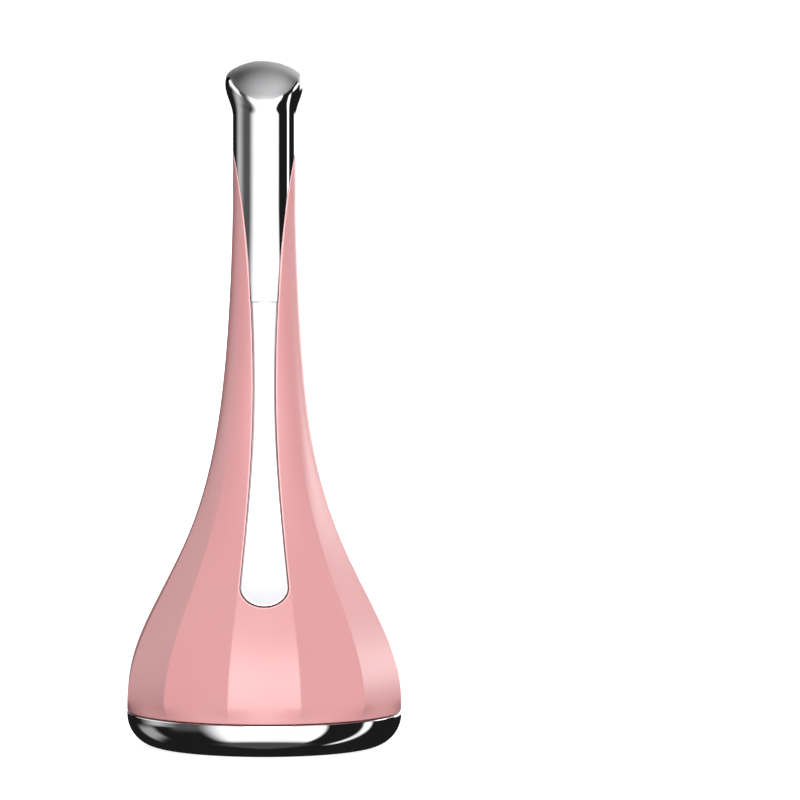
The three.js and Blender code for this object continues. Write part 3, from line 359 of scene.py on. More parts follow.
class Maker:
    # Adds nodes to one tree
    def __init__(self, tree):
        self.tree = tree
        tree.nodes.clear()

    def node(self, kind, settings=None, sockets=None, output=0):
        made = self.tree.nodes.new(kind)
        for setting, value in (settings or {}).items():
            setattr(made, setting, value)
        for socket, value in (sockets or {}).items():
            if isinstance(value, Value):
                self.tree.links.new(value.socket, made.inputs[socket])
            else:
                made.inputs[socket].default_value = value
        return Value(self, made.outputs[output]) if made.outputs else None

    def split(self, vector):
        parts = self.node("ShaderNodeSeparateXYZ", None, {0: vector}).socket.node
        return [Value(self, parts.outputs[i]) for i in range(3)]

    def mix(self, share, low, high):
        sockets = {"Factor": share, 6: low, 7: high}
        return self.node("ShaderNodeMix", {"data_type": "RGBA", "clamp_factor": True}, sockets, 2)

    def noise(self, size, detail):
        # Soft noise on Object coordinates, with spots of this many millimetres
        here = self.node("ShaderNodeTexCoord", None, None, 3)
        scale = 1 / (size * toMetres)
        place = self.node("ShaderNodeMapping", None, {"Vector": here, "Scale": (scale, scale, scale)})
        return self.node("ShaderNodeTexNoise", None, {"Vector": place, "Scale": 1.0, "Detail": detail})

    def bump(self, height, distance):
        return self.node("ShaderNodeBump", None, {"Height": height, "Distance": distance})


def newMaterial(name):
    material = bpy.data.materials.new(name)
    material.use_nodes = True
    return material, Maker(material.node_tree)


def finishShader(maker, sockets):
    surface = maker.node("ShaderNodeBsdfPrincipled", None, sockets)
    maker.node("ShaderNodeOutputMaterial", None, {"Surface": surface})


# Sizes of the noises are in millimetres, bump depths in metres

pinkLook = {
    "light": (0.67, 0.318, 0.325, 1),
    "deep": (0.65, 0.301, 0.309, 1),
    "edge": (0.95, 0.54, 0.55, 1),  # painted highlight: the thin bright line along the slot's rounded edge and the V's
    "clouds": 26.0,
    "cloudBand": (0.35, 0.65),  # from the first colour to the second over this range of the noise
    "grain": 0.35,
    "roughness": 0.3,
    "roughSpread": 0.05,
    "roughSize": 9.0,
    "bump": 0.000004,
}


def pinkPlastic():
    # Gloss moulded plastic: faint clouds in the colour, a painted highlight mixed in as a lighter colour
    # along the rounded edges that carry the edge attribute, and a very fine skin that only blurs the
    # reflections
    material, maker = newMaterial("pinkPlastic")
    clouds = maker.noise(pinkLook["clouds"], 2.0)
    grain = maker.noise(pinkLook["grain"], 2.0)
    body = maker.mix(clouds.step(*pinkLook["cloudBand"]), pinkLook["light"], pinkLook["deep"])
    # Painted highlight: where the edge attribute is high, a lighter pink stands in for light on the rounded
    # edges
    edge = maker.node("ShaderNodeAttribute", {"attribute_name": "edge"}, None, 2)
    spread = pinkLook["roughSpread"]
    finishShader(maker, {
        "Base Color": maker.mix(edge, body, pinkLook["edge"]),
        "Roughness": maker.noise(pinkLook["roughSize"], 3.0) * spread + (pinkLook["roughness"] - spread / 2),
        "Normal": maker.bump(grain, pinkLook["bump"]),
    })
    return material


chromeLook = {
    "tint": (0.93, 0.93, 0.95, 1),
    "shade": (0.86, 0.86, 0.885, 1),
    "roughness": 0.035,
    "smudge": 0.03,
    "bump": 0.0000008,
}

satinLook = {
    "tint": (0.74, 0.74, 0.755, 1),
    "shade": (0.68, 0.68, 0.695, 1),
    "roughness": 0.27,
    "smudge": 0.05,
    "bump": 0.000003,
}

# Size of the smudges and of the grain, and the ranges of the smudges' noise over which tint and gloss change
metalSkin = {"smudges": 14.0, "grain": 0.5, "tintBand": (0.3, 0.7), "glossBand": (0.45, 0.75)}


def bareMetal(name, look):
    # Wide soft smudges shift the tint and dull the gloss a little, over a very fine grain
    material, maker = newMaterial(name)
    smudge = maker.noise(metalSkin["smudges"], 4.0)
    grain = maker.noise(metalSkin["grain"], 2.0)
    finishShader(maker, {
        "Base Color": maker.mix(smudge.step(*metalSkin["tintBand"]), look["tint"], look["shade"]),
        "Metallic": 1.0,
        "Roughness": smudge.step(*metalSkin["glossBand"]) * look["smudge"] + look["roughness"],
        "Normal": maker.bump(grain, look["bump"]),
    })
    return material


# Hidden and small parts: colour, second colour, size of the spots, roughness, metal share and bump depth
plainLooks = {
    "steel": ((0.56, 0.56, 0.58, 1), (0.43, 0.43, 0.45, 1), 1.2, 0.28, 1.0, 0.00001),
    "rubber": ((0.022, 0.022, 0.024, 1), (0.035, 0.034, 0.034, 1), 0.8, 0.75, 0.0, 0.00003),
    "black_frame": ((0.03, 0.031, 0.034, 1), (0.045, 0.045, 0.05, 1), 0.5, 0.48, 0.0, 0.00002),
    "thermal_pad": ((0.33, 0.36, 0.41, 1), (0.4, 0.43, 0.47, 1), 0.6, 0.8, 0.0, 0.00004),
    "ceramic": ((0.86, 0.84, 0.78, 1), (0.78, 0.76, 0.7, 1), 0.3, 0.55, 0.0, 0.00001),
    "copper": ((0.72, 0.35, 0.2, 1), (0.58, 0.26, 0.15, 1), 1.0, 0.32, 1.0, 0.00001),
    "foam": ((0.05, 0.05, 0.053, 1), (0.085, 0.085, 0.09, 1), 0.35, 0.95, 0.0, 0.0001),
    "aluminium": ((0.72, 0.73, 0.75, 1), (0.6, 0.61, 0.63, 1), 0.7, 0.36, 1.0, 0.00002),
    "cell_sleeve": ((0.06, 0.17, 0.42, 1), (0.05, 0.14, 0.36, 1), 6.0, 0.32, 0.0, 0.00001),
    "motor_can": ((0.6, 0.6, 0.61, 1), (0.5, 0.5, 0.52, 1), 0.8, 0.3, 1.0, 0.00001),
    "board": ((0.012, 0.14, 0.06, 1), (0.018, 0.19, 0.085, 1), 0.9, 0.42, 0.0, 0.00002),
    "amber_film": ((0.55, 0.22, 0.03, 1), (0.44, 0.16, 0.025, 1), 1.1, 0.35, 0.0, 0.00001),
    "red_wire": ((0.45, 0.02, 0.025, 1), (0.37, 0.015, 0.02, 1), 0.7, 0.42, 0.0, 0.00001),
    "black_wire": ((0.012, 0.012, 0.013, 1), (0.025, 0.025, 0.027, 1), 0.7, 0.42, 0.0, 0.00001),
}

plainSkin = {
    "wide": 7,  # the wide spots' size over the small ones'
    "small": 0.6,  # the small spots' share in the colour
    "band": (0.35, 0.65),
    "roughSpread": 0.12,
}


def plainFinish(name, look):
    # Small and wide spots together choose between the two colours, and the wide ones also vary the gloss
    light, dark, size, roughness, metal, depth = look
    material, maker = newMaterial(name)
    spots = maker.noise(size, 4.0)
    wide = maker.noise(size * plainSkin["wide"], 2.0)
    small, spread = plainSkin["small"], plainSkin["roughSpread"]
    finishShader(maker, {
        "Base Color": maker.mix((spots * small + wide * (1 - small)).step(*plainSkin["band"]), light, dark),
        "Metallic": metal,
        "Roughness": wide * spread + (roughness - spread / 2),
        "Normal": maker.bump(spots, depth),
    })
    return material


pink = pinkPlastic()
chrome = bareMetal("polishedChrome", chromeLook)
satin = bareMetal("satinTip", satinLook)
plain = {slot: plainFinish(slot + "Finish", look) for slot, look in plainLooks.items()}
print("materials made")

# Bell housing: half of it is worked out and mirrored

bell = {
    "columnStep": 2.5,  # degrees
    "ridge": 0.45,  # degrees to the extra column on each side of a ridge
    "portStep": 0.75,
    "rimRows": 8,
    "flatRows": 50,
    "footRows": 18,
    "backRows": 44,
    "tipRows": 34,
    "squeezed": (14.5, 25),  # degrees up to which columns are squeezed beside a narrow and beside a wide slot
    "widens": (11, 14),  # half width of the slot, in degrees, over which the one becomes the other
    "even": (60, 80),  # heights between which the columns become evenly spread over the petal
}

paintedHighlightShare = np.array([0.2, 1, 1, 0.8, 0.5, 0.2, 0, 0, 0, 0])  # share of painted highlight over the points of a rim strip's section

port = {
    "middle": 19.3,
    "recess": (5.57, 2.7),  # half length and half height
    "mouth": (4.77, 1.9),
    "pad": (6.6, 3.8),
    "floor": 27.4,  # how far back the recess's floor lies
    "inside": 26.1,  # and the pad behind it
    "from": 14.6,  # the window in the grid that the port's rings fill
    "to": 24.2,
    "side": np.radians(166),
    "round": 0.22,
    "mouthRound": 0.1,
    "roundSteps": 5,
    "outerRings": 6,  # between the window and the recess's edge
    "innerRings": 3,  # and between the pad and the window
}

boss = {
    "radius": 2.3,
    "hole": 1.2,
    "soft": 0.2,
    "length": 18.0,
    "columns": 49,
    "topRings": (0.7, 0.35),  # shares of the radius
    "ribHalf": 0.75,
    "ribRows": 16,
    "searchTo": 80.0,  # the flare is looked up as far as this height
    "searchSteps": 900,
    # distance from the axis, direction, foot, and end of the screw's hole
    "places": [
        (24.193, 60, 15.6, 20.6),
        (24.193, 120, 15.6, 20.6),
        (17.493, 45, 25.8, 30.5),
        (17.493, 135, 25.8, 30.5),
    ],
}


def bellColumns():
    # Even steps in degrees, with extra columns by the ridges between the flats and by the port
    step = 360 / shell["flats"]
    ridges = np.arange(step / 2, 180, step)
    near = np.concatenate([ridges - bell["ridge"], ridges, ridges + bell["ridge"]])
    byPort = np.arange(np.degrees(port["side"]), 180, bell["portStep"])
    even = np.append(np.arange(0, 180, bell["columnStep"]), 180)
    return np.radians(np.unique(np.round(np.concatenate([even, near, byPort]), 3)))


def bellHeights(frontEdge, backEdge):
    # Rows from the rim to the petals' tips, close together on the run-out, at the two feet and at the tips
    frontFoot, backFoot = frontEdge[0, 1], backEdge[0, 1]
    top = min(frontEdge[-1, 1], backEdge[-1, 1])
    flatFrom = shell["rimHeight"] + shell["runOut"]
    aboveFront, aboveBack = inlay["shoulder"] + inlay["pastRound"], inlay["backShoulder"] + inlay["pastRound"]
    heights = sortedHeights([
        np.linspace(shell["rimHeight"] + shell["edge"], flatFrom, bell["rimRows"]),
        np.linspace(flatFrom, frontFoot, bell["flatRows"]),
        footHeights(frontEdge, aboveFront, bell["footRows"]),
        np.linspace(aboveFront, backFoot, bell["backRows"]),
        footHeights(backEdge, aboveBack, bell["footRows"]),
        crowdedHeights(aboveBack, top, bell["tipRows"])[1:],
    ])
    return heights[heights <= top + tiny]


def bellAngles(columns, heights, start, end):
    # Low down the columns run straight up, and those beside the slot are squeezed between it and a fixed
    # angle. Higher up they are spread evenly from the slot to the V.
    narrow, wide = np.radians(bell["squeezed"])
    nearRidge = np.where(columns < narrow, start + columns * (narrow - start) / narrow, columns)
    pastRidge = np.where(columns < wide, start + columns * (wide - start) / wide, columns)
    share = ramp(np.degrees(start), *bell["widens"])
    low = nearRidge * (1 - share) + pastRidge * share
    high = start + (end - start) * columns / np.pi
    share = ramp(heights, *bell["even"])
    return low * (1 - share) + high * share


def slotRoll(height):
    # Rounding of the slot's edge, which narrows towards the petals' tips
    narrowed = ramp(height, *shell["rollNarrows"])
    return shell["slotEdge"] + (shell["edge"] - shell["slotEdge"]) * narrowed


def slotShape(turn, size, grow=0.0):
    # Long hole with round ends, as across and up from its middle, by the direction from there
    half, radius = size[0] + grow, size[1] + grow
    straight = half - radius
    across, up = np.cos(turn), np.abs(np.sin(turn))
    reach = np.where(
        radius * across <= straight * up,
        radius / np.maximum(up, tiny),
        straight * across + np.sqrt(np.maximum(radius ** 2 - (straight * up) ** 2, 0)),
    )
    return np.column_stack([reach * across, port["middle"] + reach * np.sin(turn)])


def portRings(outside, inside, low, high, side):
    # Rings from the window left out of the outer skin, round the recess's edge, through the mouth, and back
    # to the same window in the inner skin
    def windowOf(grid):
        return np.concatenate([grid[low, side:][::-1], grid[low + 1:high, side], grid[high, side:]])

    outer, inner = windowOf(outside), windowOf(inside)
    turn = np.arctan2(outer[:, 2] - port["middle"], outer[:, 0])

    def ring(shape, back):
        return np.column_stack([shape[:, 0], np.broadcast_to(back, len(shape)), shape[:, 1]])

    def corner(size, back, grows, backs):
        return [ring(slotShape(turn, size, grow), back + lift) for grow, lift in zip(grows, backs)]

    quarter = np.linspace(0, np.pi / 2, port["roundSteps"])
    turned, sunk = 1 - np.sin(quarter), 1 - np.cos(quarter)
    recess, mouth, edge, small = port["recess"], port["mouth"], port["round"], port["mouthRound"]
    floor, back = port["floor"], port["inside"]
    rim = slotShape(turn, recess, edge)
    rings = [outer]
    for share in np.linspace(0, 1, port["outerRings"] + 2)[1:-1]:
        shape = outer[:, ::2] * (1 - share) + rim * share
        rings.append(ring(shape, flareRadius(shape[:, 1])))
    skin = flareRadius(rim[:, 1])
    rings += corner(recess, skin, edge * turned, -edge * sunk)
    rings += corner(recess, floor, -small * sunk, small * turned)
    rings += corner(mouth, floor, small * turned, -small * sunk)
    rings += corner(mouth, back, small * sunk, small * turned)
    pad = slotShape(turn, port["pad"])
    skin = flareRadius(pad[:, 1]) - shell["wall"]
    rings += [ring(pad, np.minimum(skin, back)), ring(pad, skin)]
    for share in np.linspace(0, 1, port["innerRings"] + 2)[1:-1]:
        rings.append(ring(pad, skin) * (1 - share) + inner * share)
    return np.array(rings + [inner])


def bosses():
    # Posts for the screws, each with a rib, that run up into the middle of the bell's wall
    heights = np.linspace(shell["rimHeight"], boss["searchTo"], boss["searchSteps"])
    wall, radius, hole = shell["wall"], boss["radius"], boss["hole"]
    soft, half = boss["soft"], boss["ribHalf"]
    turn = np.linspace(0, 2 * np.pi, boss["columns"])
    grids = []
    for distance, direction, foot, end in boss["places"]:
        def top(x, y):
            reach = np.hypot(x, y) + wall / 2
            return np.clip(np.interp(-reach, -flareRadius(heights), heights), foot, foot + boss["length"])

        away = np.array([np.sin(np.radians(direction)), -np.cos(np.radians(direction))])
        grids.append(turnedPost(distance * away, [
            (0, end), (hole, end), (hole, foot + soft), (hole + soft, foot),
            (radius - soft, foot), (radius, foot + soft),
            (radius, top), *[(radius * share, top) for share in boss["topRings"]], (0, top),
        ], turn))
        reach = np.linspace(distance + hole + soft, flareRadius(foot) - wall / 2, boss["ribRows"])[:, None]
        side = np.array([-half, half, half, -half, -half])
        x, y = reach * away[0] - side * away[1], reach * away[1] + side * away[0]
        raised = np.array([False, False, True, True, False])
        rib = np.stack([x, y, np.where(raised, top(x, y), foot)], axis=-1)
        middle = np.broadcast_to(rib[:1, :4].mean(axis=1, keepdims=True), rib[:1].shape)
        grids.append(np.concatenate([middle, rib]))
    return [(grid, False, 0) for grid in grids]


def bellHousing():
    # Outer and inner skin as grids between the slot in front and the V at the back, rims along their edges,
    # the port's rings in a window of both skins, and the bosses
    (front, frontOut), (back, backOut) = petalEdges()
    edge = shell["edge"]
    frontEdge, backEdge = shifted(front, frontOut, slotRoll(front[:, 1])), shifted(back, backOut, edge)
    heights, columns = bellHeights(frontEdge, backEdge), bellColumns()
    feet = frontEdge[0, 1], backEdge[0, 1]
    frontFoot, backFoot = [heights[np.argmin(np.abs(heights - foot))] for foot in feet]
    frontAngle, frontTurn = atHeights(frontEdge, frontOut, heights)
    backAngle, backTurn = atHeights(backEdge, backOut, heights)
    frontAngle[heights <= frontFoot] = 0
    backAngle[heights <= backFoot] = np.pi
    frontAngle[-1] = backAngle[-1] = np.pi / 2
    start, end, level = frontAngle[:, None], backAngle[:, None], heights[:, None]
    depth = wallDepth(heights)
    angle = bellAngles(columns, level, start, end)
    widened = straightBehind(start, level, depth[:, None]) - start
    behind = angle + widened * (1 - (angle - start) / np.maximum(end - start, tiny))
    outside, inside = skinPoint(angle, level), skinPoint(behind, level, depth[:, None])
    inFront, atBack = heights >= frontFoot, heights >= backFoot
    slotHeights = heights[inFront]
    slotEdges = (frontAngle[inFront], slotHeights, -frontTurn[inFront])
    frontRim = rimStrip(*slotEdges, depth[inFront], slotRoll(slotHeights), True)
    backRim = rimStrip(backAngle[atBack], heights[atBack], -backTurn[atBack], depth[atBack], edge)
    down = np.broadcast_to((0.0, -1.0), (len(columns), 2))
    lowerRim = rimStrip(angle[0], np.full(len(columns), heights[0]), down, depth[0], edge)
    low, high = [np.argmin(np.abs(heights - port[limit])) for limit in ("from", "to")]
    side = np.argmin(np.abs(columns - port["side"]))
    skins = []
    for grid, flip in ((outside, False), (inside, True)):
        skins += [(part, flip, 0) for part in (grid[:low + 1], grid[low:high + 1, :side + 1], grid[high:])]
    return makeMesh("bellShell", skins + [
        (portRings(outside, inside, low, high, side), True, 0),
        # The slot's rim and the V's rim carry the painted highlight share
        (frontRim, True, 0, paintedHighlightShare),
        (backRim, False, 0, paintedHighlightShare),
        (lowerRim, False, 0),
    ] + bosses(), [pink])


bellShell = bellHousing()
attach(bellShell, "device")
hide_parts("bell_housing")
print("bell shell:", len(bellShell.data.polygons), "faces")

# Key: a strip of the same skin with a rounded foot, square at its top

key = {
    "seam": 98.0,
    "seamGap": 0.07,
    "thickness": 1.3,
    "edge": 0.3,
    "seamEdge": 0.06,
    "footLift": 0.16,  # extra room under the foot, which sinks as the key is pressed
    "liftFades": 6.0,  # over this height
    "footEnds": 1.0,  # above the shoulder, where the foot's close rows end
    "footRows": 24,
    "rows": 60,
    "columns": 18,
    "rooted": 0.4,  # how far the post, the rib and the lug reach into the strip
    "soft": 0.12,  # rounding of their edges
    "softSteps": 4,
    "switch": 42.0,
    "postRadius": 1.5,
    "postLength": 1.2,
    "postColumns": 33,
    "rib": (46.0, 64.0),
    "ribHalf": 0.5,
    "ribDepth": 0.7,
    "ribRows": 28,
    "pivot": 92.0,
    "pivotDepth": 4.606,
    "lugRadius": 1.2,
    "lugHalf": 1.6,
    "lugColumns": 97,
    "pinHole": 0.6,
}


def seamCorner(start, end, rolls):
    # Directions that swing round a corner at the seam, made lower so that the rounding keeps clear of it
    first, last = np.arctan2(start[1], start[0]), np.arctan2(end[1], end[0])
    turn = np.linspace(first, last, len(rolls))
    return np.column_stack([np.cos(turn), np.sin(turn) * key["seamEdge"] / rolls])


def softSection(root, half, end):
    # Half of a section from its root in the strip to the middle of its end, with a rounded corner
    soft = key["soft"]
    corner = arc((half - soft, end - soft), soft, 0, 90, key["softSteps"])
    return np.array([(0, root), (half, root), *corner, (0, end)])


def keyPost():
    # The stub over the switch: a profile of radius and depth, turned about a line along Y
    face = key["thickness"] - flareRadius(key["switch"])
    profile = softSection(face - key["rooted"], key["postRadius"], face + key["postLength"])
    turn = np.linspace(0, np.pi, key["postColumns"])
    reach, back = profile[:, :1], profile[:, 1:]
    across, height = reach * np.sin(turn), key["switch"] + reach * np.cos(turn)
    return np.stack(np.broadcast_arrays(across, back, height), axis=-1)


def keyRib():
    # Half of a bar's section, moved up along the strip's rear face, with a row drawn in to close each end
    height = np.linspace(*key["rib"], key["ribRows"])[:, None]
    section = softSection(-key["rooted"], key["ribHalf"], key["ribDepth"])
    back = key["thickness"] - flareRadius(height) + section[:, 1]
    bar = np.stack(np.broadcast_arrays(section[:, 0], back, height), axis=-1)
    return np.concatenate([bar[:1] * (0, 1, 1), bar, bar[-1:] * (0, 1, 1)])


def keyLug():
    # Round eye with a straight web to the strip: rings out over its rim, across its side and through its hole
    half, eye, hole, pivot = key["lugHalf"], key["lugRadius"], key["pinHole"], key["pivot"]
    soft, steps, deep = key["soft"], key["softSteps"], key["pivotDepth"]
    long = flareRadius(pivot) - key["thickness"] + key["rooted"] - deep
    turn = np.linspace(0, 2 * np.pi, key["lugColumns"])
    back, up = np.cos(turn), np.sin(turn)
    web = np.minimum(eye / np.maximum(np.abs(up), tiny), long / np.maximum(-back, tiny))
    outline = np.where(back > 0, eye, web)
    rounded = arc((eye - soft, half - soft), soft, 0, 90, steps)
    flared = arc((0, half - soft), soft, 90, 0, steps)
    rim = [(side, outline - eye + reach) for reach, side in rounded]
    bore = [(side, hole + soft - reach) for reach, side in flared]
    return np.array([
        np.column_stack(np.broadcast_arrays(side, reach * back - deep, pivot + reach * up))
        for side, reach in [(0, outline), *rim, *bore, (0, hole)]
    ])


def frontKey():
    # Skin between the slot's edges, moved in by the gap and the rounding, its rear face, and a rim round both
    edge, seamEdge, thickness = key["edge"], key["seamEdge"], key["thickness"]
    front, frontOut = petalEdges()[0]
    curve = shifted(front, frontOut, -(inlay["gap"] + edge))
    curve[:, 1] += key["footLift"] * (1 - smoothStep((curve[:, 1] - curve[0, 1]) / key["liftFades"]))
    top = key["seam"] - key["seamGap"] / 2 - seamEdge
    footEnd = inlay["shoulder"] + key["footEnds"]
    heights = sortedHeights([
        footHeights(curve, footEnd, key["footRows"]),
        np.linspace(footEnd, top, key["rows"]),
    ])
    side, sideTurn = atHeights(curve, frontOut, heights)
    side[0] = 0
    angle = side[:, None] * np.linspace(0, 1, key["columns"])
    height = heights[:, None]
    cornerRoll = np.linspace(edge, seamEdge, cornerSteps)
    corner = seamCorner(sideTurn[-1], (0, 1), cornerRoll)
    along = np.concatenate([side, np.full(cornerSteps, side[-1]), angle[-1, ::-1]])
    up = np.concatenate([heights, np.full(cornerSteps + key["columns"], top)])
    outs = np.vstack([sideTurn, corner, np.broadcast_to((0.0, 1.0), (key["columns"], 2))])
    roll = np.concatenate([np.full(len(side), edge), cornerRoll, np.full(key["columns"], seamEdge)])
    return makeMesh("keyStrip", [
        (skinPoint(angle, height), False, 0),
        (skinPoint(straightBehind(angle, height, thickness), height, thickness), True, 0),
        (rimStrip(along, up, outs, thickness, roll, True), False, 0),
        (keyPost(), False, 0),
        (keyRib(), False, 0),
        (keyLug(), False, 0),
    ], [chrome])


keyStrip = frontKey()
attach(keyStrip, "key")
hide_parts("front_key")
print("key:", len(keyStrip.data.polygons), "faces")

# Neck and tip

tip = {
    "edge": 0.14,
    "bore": 5.5,
    "flareStart": 133.8,
    "domeHeight": 136.05,
    "domeBack": 5.6,
    "domeRadius": 13.7,
    "lipFront": 0.3,  # how far the lip stands out from the neck in front
    "lipSide": 1.35,  # at its widest
    "lipBack": 2.85,  # and at the back
    "lipMiddle": 3.5,  # its greatest width lies this far behind the neck's axis
    "lipTurn": 1.25,  # half waves that the flare's curve runs through
    "riseFront": 2.6,  # height of the flare in front
    "riseBack": 13.5,
    "lipRound": 0.45,  # how far the rounding of the lip runs down the flare
    "faceShare": 0.95,  # and where on the face it ends
    "post": [(5.5, 138.0), (2.5, 138.0), (2.5, 133.3), (1.2, 133.3), (1.2, 139.5), (0.0, 139.5)],
    "columns": 52,
    "footRows": 18,
    "edgeRows": 64,
    "neckRows": 9,
    "flareRows": 40,
    "bendRows": 8,
    "faceRows": 30,
}


def lipRadius(angle):
    # Two half ellipses that meet at the lip's greatest width, from the neck's axis
    middle = tip["lipMiddle"]
    across, back = np.sin(angle), -np.cos(angle)

    def reach(end):
        # Positive root of the quadratic that puts a point in this direction on the ellipse
        square = (across / (shell["neckRadius"] + tip["lipSide"])) ** 2 + (back / end) ** 2
        linear = -back * middle / end ** 2
        return (np.sqrt(linear * linear - square * ((middle / end) ** 2 - 1)) - linear) / square

    inFront = reach(shell["neckRadius"] + tip["lipFront"] + middle)
    behind = reach(shell["neckRadius"] + tip["lipBack"] - middle)
    return np.where(inFront * back < middle, inFront, behind)


def flaredRadius(angle, part):
    # A half wave that runs on a little past its crest
    wave = (1 - np.cos(np.pi * tip["lipTurn"] * part)) / (1 - np.cos(np.pi * tip["lipTurn"]))
    return shell["neckRadius"] + (lipRadius(angle) - shell["neckRadius"]) * wave


def domeHeight(radius, angle):
    # Height on a sphere whose middle lies behind the neck's axis
    x, y = radius * np.sin(angle), -radius * np.cos(angle)
    return tip["domeHeight"] + np.sqrt(tip["domeRadius"] ** 2 - x ** 2 - (y - tip["domeBack"]) ** 2)


def tipRows(angle):
    # Flare, rounded lip and domed face above the straight neck
    lip = domeHeight(flaredRadius(angle, 1), angle)
    rise = tip["riseFront"] + (tip["riseBack"] - tip["riseFront"]) * (1 - np.cos(angle)) / 2

    def flarePoint(height):
        part = np.maximum(1 - (lip - height) / rise, 0)
        return around(flaredRadius(angle, part), angle, height)

    def facePoint(share):
        radius = flaredRadius(angle, 1) * share
        return around(radius, angle, domeHeight(radius, angle))

    start, upTo = tip["flareStart"], lip - tip["lipRound"]
    flare = [flarePoint(start + (upTo - start) * share) for share in np.linspace(0, 1, tip["flareRows"])[1:]]
    below, at, past = flare[-1], flarePoint(lip), facePoint(tip["faceShare"])
    bend = [
        below * (1 - share) ** 2 + at * 2 * share * (1 - share) + past * share * share
        for share in np.linspace(0, 1, tip["bendRows"])[1:]
    ]
    face = [facePoint(tip["faceShare"] * share) for share in np.linspace(1, 0, tip["faceRows"])]
    return np.array(flare + bend), np.array(face)


def neckHead():
    # A front and a back quarter, each from its petal's edge to the middle and up over the tip, and a rim
    # along the seam and both edges
    edge, seamEdge = tip["edge"], key["seamEdge"]
    (front, frontOut), (back, backOut) = petalEdges()
    distance = inlay["gap"] + edge
    frontEdge, backEdge = shifted(front, frontOut, -distance), shifted(back, backOut, -distance)
    notch = max(frontEdge[-1, 1], backEdge[-1, 1])
    low = key["seam"] + key["seamGap"] / 2 + seamEdge
    aboveBack = inlay["backShoulder"] + inlay["pastRound"]
    frontHeights = crowdedHeights(low, notch, tip["edgeRows"])
    backHeights = sortedHeights([
        footHeights(backEdge, aboveBack, tip["footRows"]),
        crowdedHeights(aboveBack, notch, tip["edgeRows"]),
    ])
    backHeights[-1] = notch
    straight = np.linspace(notch, tip["flareStart"], tip["neckRows"])[1:]
    share = np.linspace(0, 1, tip["columns"])
    frontAngle, frontTurn = atHeights(frontEdge, frontOut, frontHeights)
    backAngle, backTurn = atHeights(backEdge, backOut, backHeights)
    frontAngle[-1] = backAngle[-1] = np.pi / 2
    backAngle[0] = np.pi

    def quarter(edgeAngles, heights, isBack):
        allAngles = np.concatenate([edgeAngles, np.full(len(straight), np.pi / 2)])[:, None]
        allHeights = np.concatenate([heights, straight])[:, None]
        angle = allAngles + (np.pi - allAngles) * share if isBack else allAngles * share
        neck = skinPoint(angle, allHeights)
        inside = skinPoint(angle, allHeights, flareRadius(allHeights) - tip["bore"])
        flare, face = tipRows(angle[-1])
        post = np.array([around(radius, angle[-1], height) for radius, height in tip["post"]])
        return [
            (np.concatenate([neck, flare]), False, 0),
            (np.concatenate([flare[-1:], face]), False, 1),
            (np.concatenate([inside, post]), True, 0),
        ]

    cornerRoll = np.linspace(seamEdge, edge, cornerSteps)
    corner = seamCorner((0, -1), frontTurn[0], cornerRoll)
    along = np.concatenate([
        frontAngle[0] * share, np.full(cornerSteps, frontAngle[0]), frontAngle, backAngle[::-1],
    ])
    up = np.concatenate([np.full(len(share) + cornerSteps, low), frontHeights, backHeights[::-1]])
    down = np.broadcast_to((0.0, -1.0), (len(share), 2))
    outs = np.vstack([down, corner, frontTurn, backTurn[::-1]])
    roll = np.concatenate([
        np.full(len(share), seamEdge), cornerRoll, np.full(len(frontAngle) + len(backAngle), edge),
    ])
    rim = rimStrip(along, up, outs, flareRadius(up) - tip["bore"], roll)
    patches = quarter(frontAngle, frontHeights, False) + quarter(backAngle, backHeights, True)
    return makeMesh("neckAndTip", patches + [(rim, False, 0)], [chrome, satin])


neckAndTip = neckHead()
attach(neckAndTip, "device")
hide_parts("neck_head")
print("neck:", len(neckAndTip.data.polygons), "faces")

# Cold plate

plate = {
    "radius": 30.0,
    "top": 7.5,
    "roll": 7.0,
    "lip": 0.2,
    "floor": 3.0,
    "spigot": 27.6,
    "spigotTop": 12.5,
    "spigotWall": 2.2,
    "groove": (7.85, 9.35, 1.1),  # from, to and depth
    "snap": (10.2, 11.6, 0.8),
    "corner": 1.0,
    "columns": 128,
    "footRings": 12,
    "rollSteps": 32,
    "cornerSteps": 6,
    "postRing": 15.7,
    "post": [(0, 1.5), (2.3, 1.5), (2.3, 6.5), (2.1, 6.7), (1.4, 6.7), (1.2, 6.5), (1.2, 3.5), (0, 3.5)],
    "postColumns": 49,
}


def coldPlate():
    # A profile of radius and height, turned about the Z axis, and four posts for the heat sink's screws
    outer, top, roll, lip = plate["radius"], plate["top"], plate["roll"], plate["lip"]
    spigot, inner, floor = plate["spigot"], plate["spigot"] - plate["spigotWall"], plate["floor"]
    groove, snap, corner, steps = plate["groove"], plate["snap"], plate["corner"], plate["cornerSteps"]
    profile = np.array([
        *[(radius, 0) for radius in np.linspace(0, outer - roll, plate["footRings"])[:-1]],
        *arc((outer - roll, roll), roll, -90, 0, plate["rollSteps"]),
        *arc((outer - lip, top - lip), lip, 0, 90, steps),
        (spigot, top),
        (spigot, groove[0]), (spigot - groove[2], groove[0]),
        (spigot - groove[2], groove[1]), (spigot, groove[1]),
        (spigot, plate["spigotTop"]), (inner, plate["spigotTop"]),
        (inner, snap[1]), (inner + snap[2], snap[1]), (inner + snap[2], snap[0]), (inner, snap[0]),
        *arc((inner - corner, floor + corner), corner, 0, -90, steps),
        (0, floor),
    ])
    points = around(profile[:, :1], np.linspace(0, np.pi, plate["columns"]), profile[:, 1:])
    whole = np.linspace(0, 2 * np.pi, plate["postColumns"])
    half, ring = whole[:plate["postColumns"] // 2 + 1], plate["postRing"]
    places = [((0, -ring), half), ((ring, 0), whole), ((0, ring), half)]
    posts = [(turnedPost(centre, plate["post"], turn), False, 0) for centre, turn in places]
    return makeMesh("coldPlate", [(points, False, 0)] + posts, [chrome])


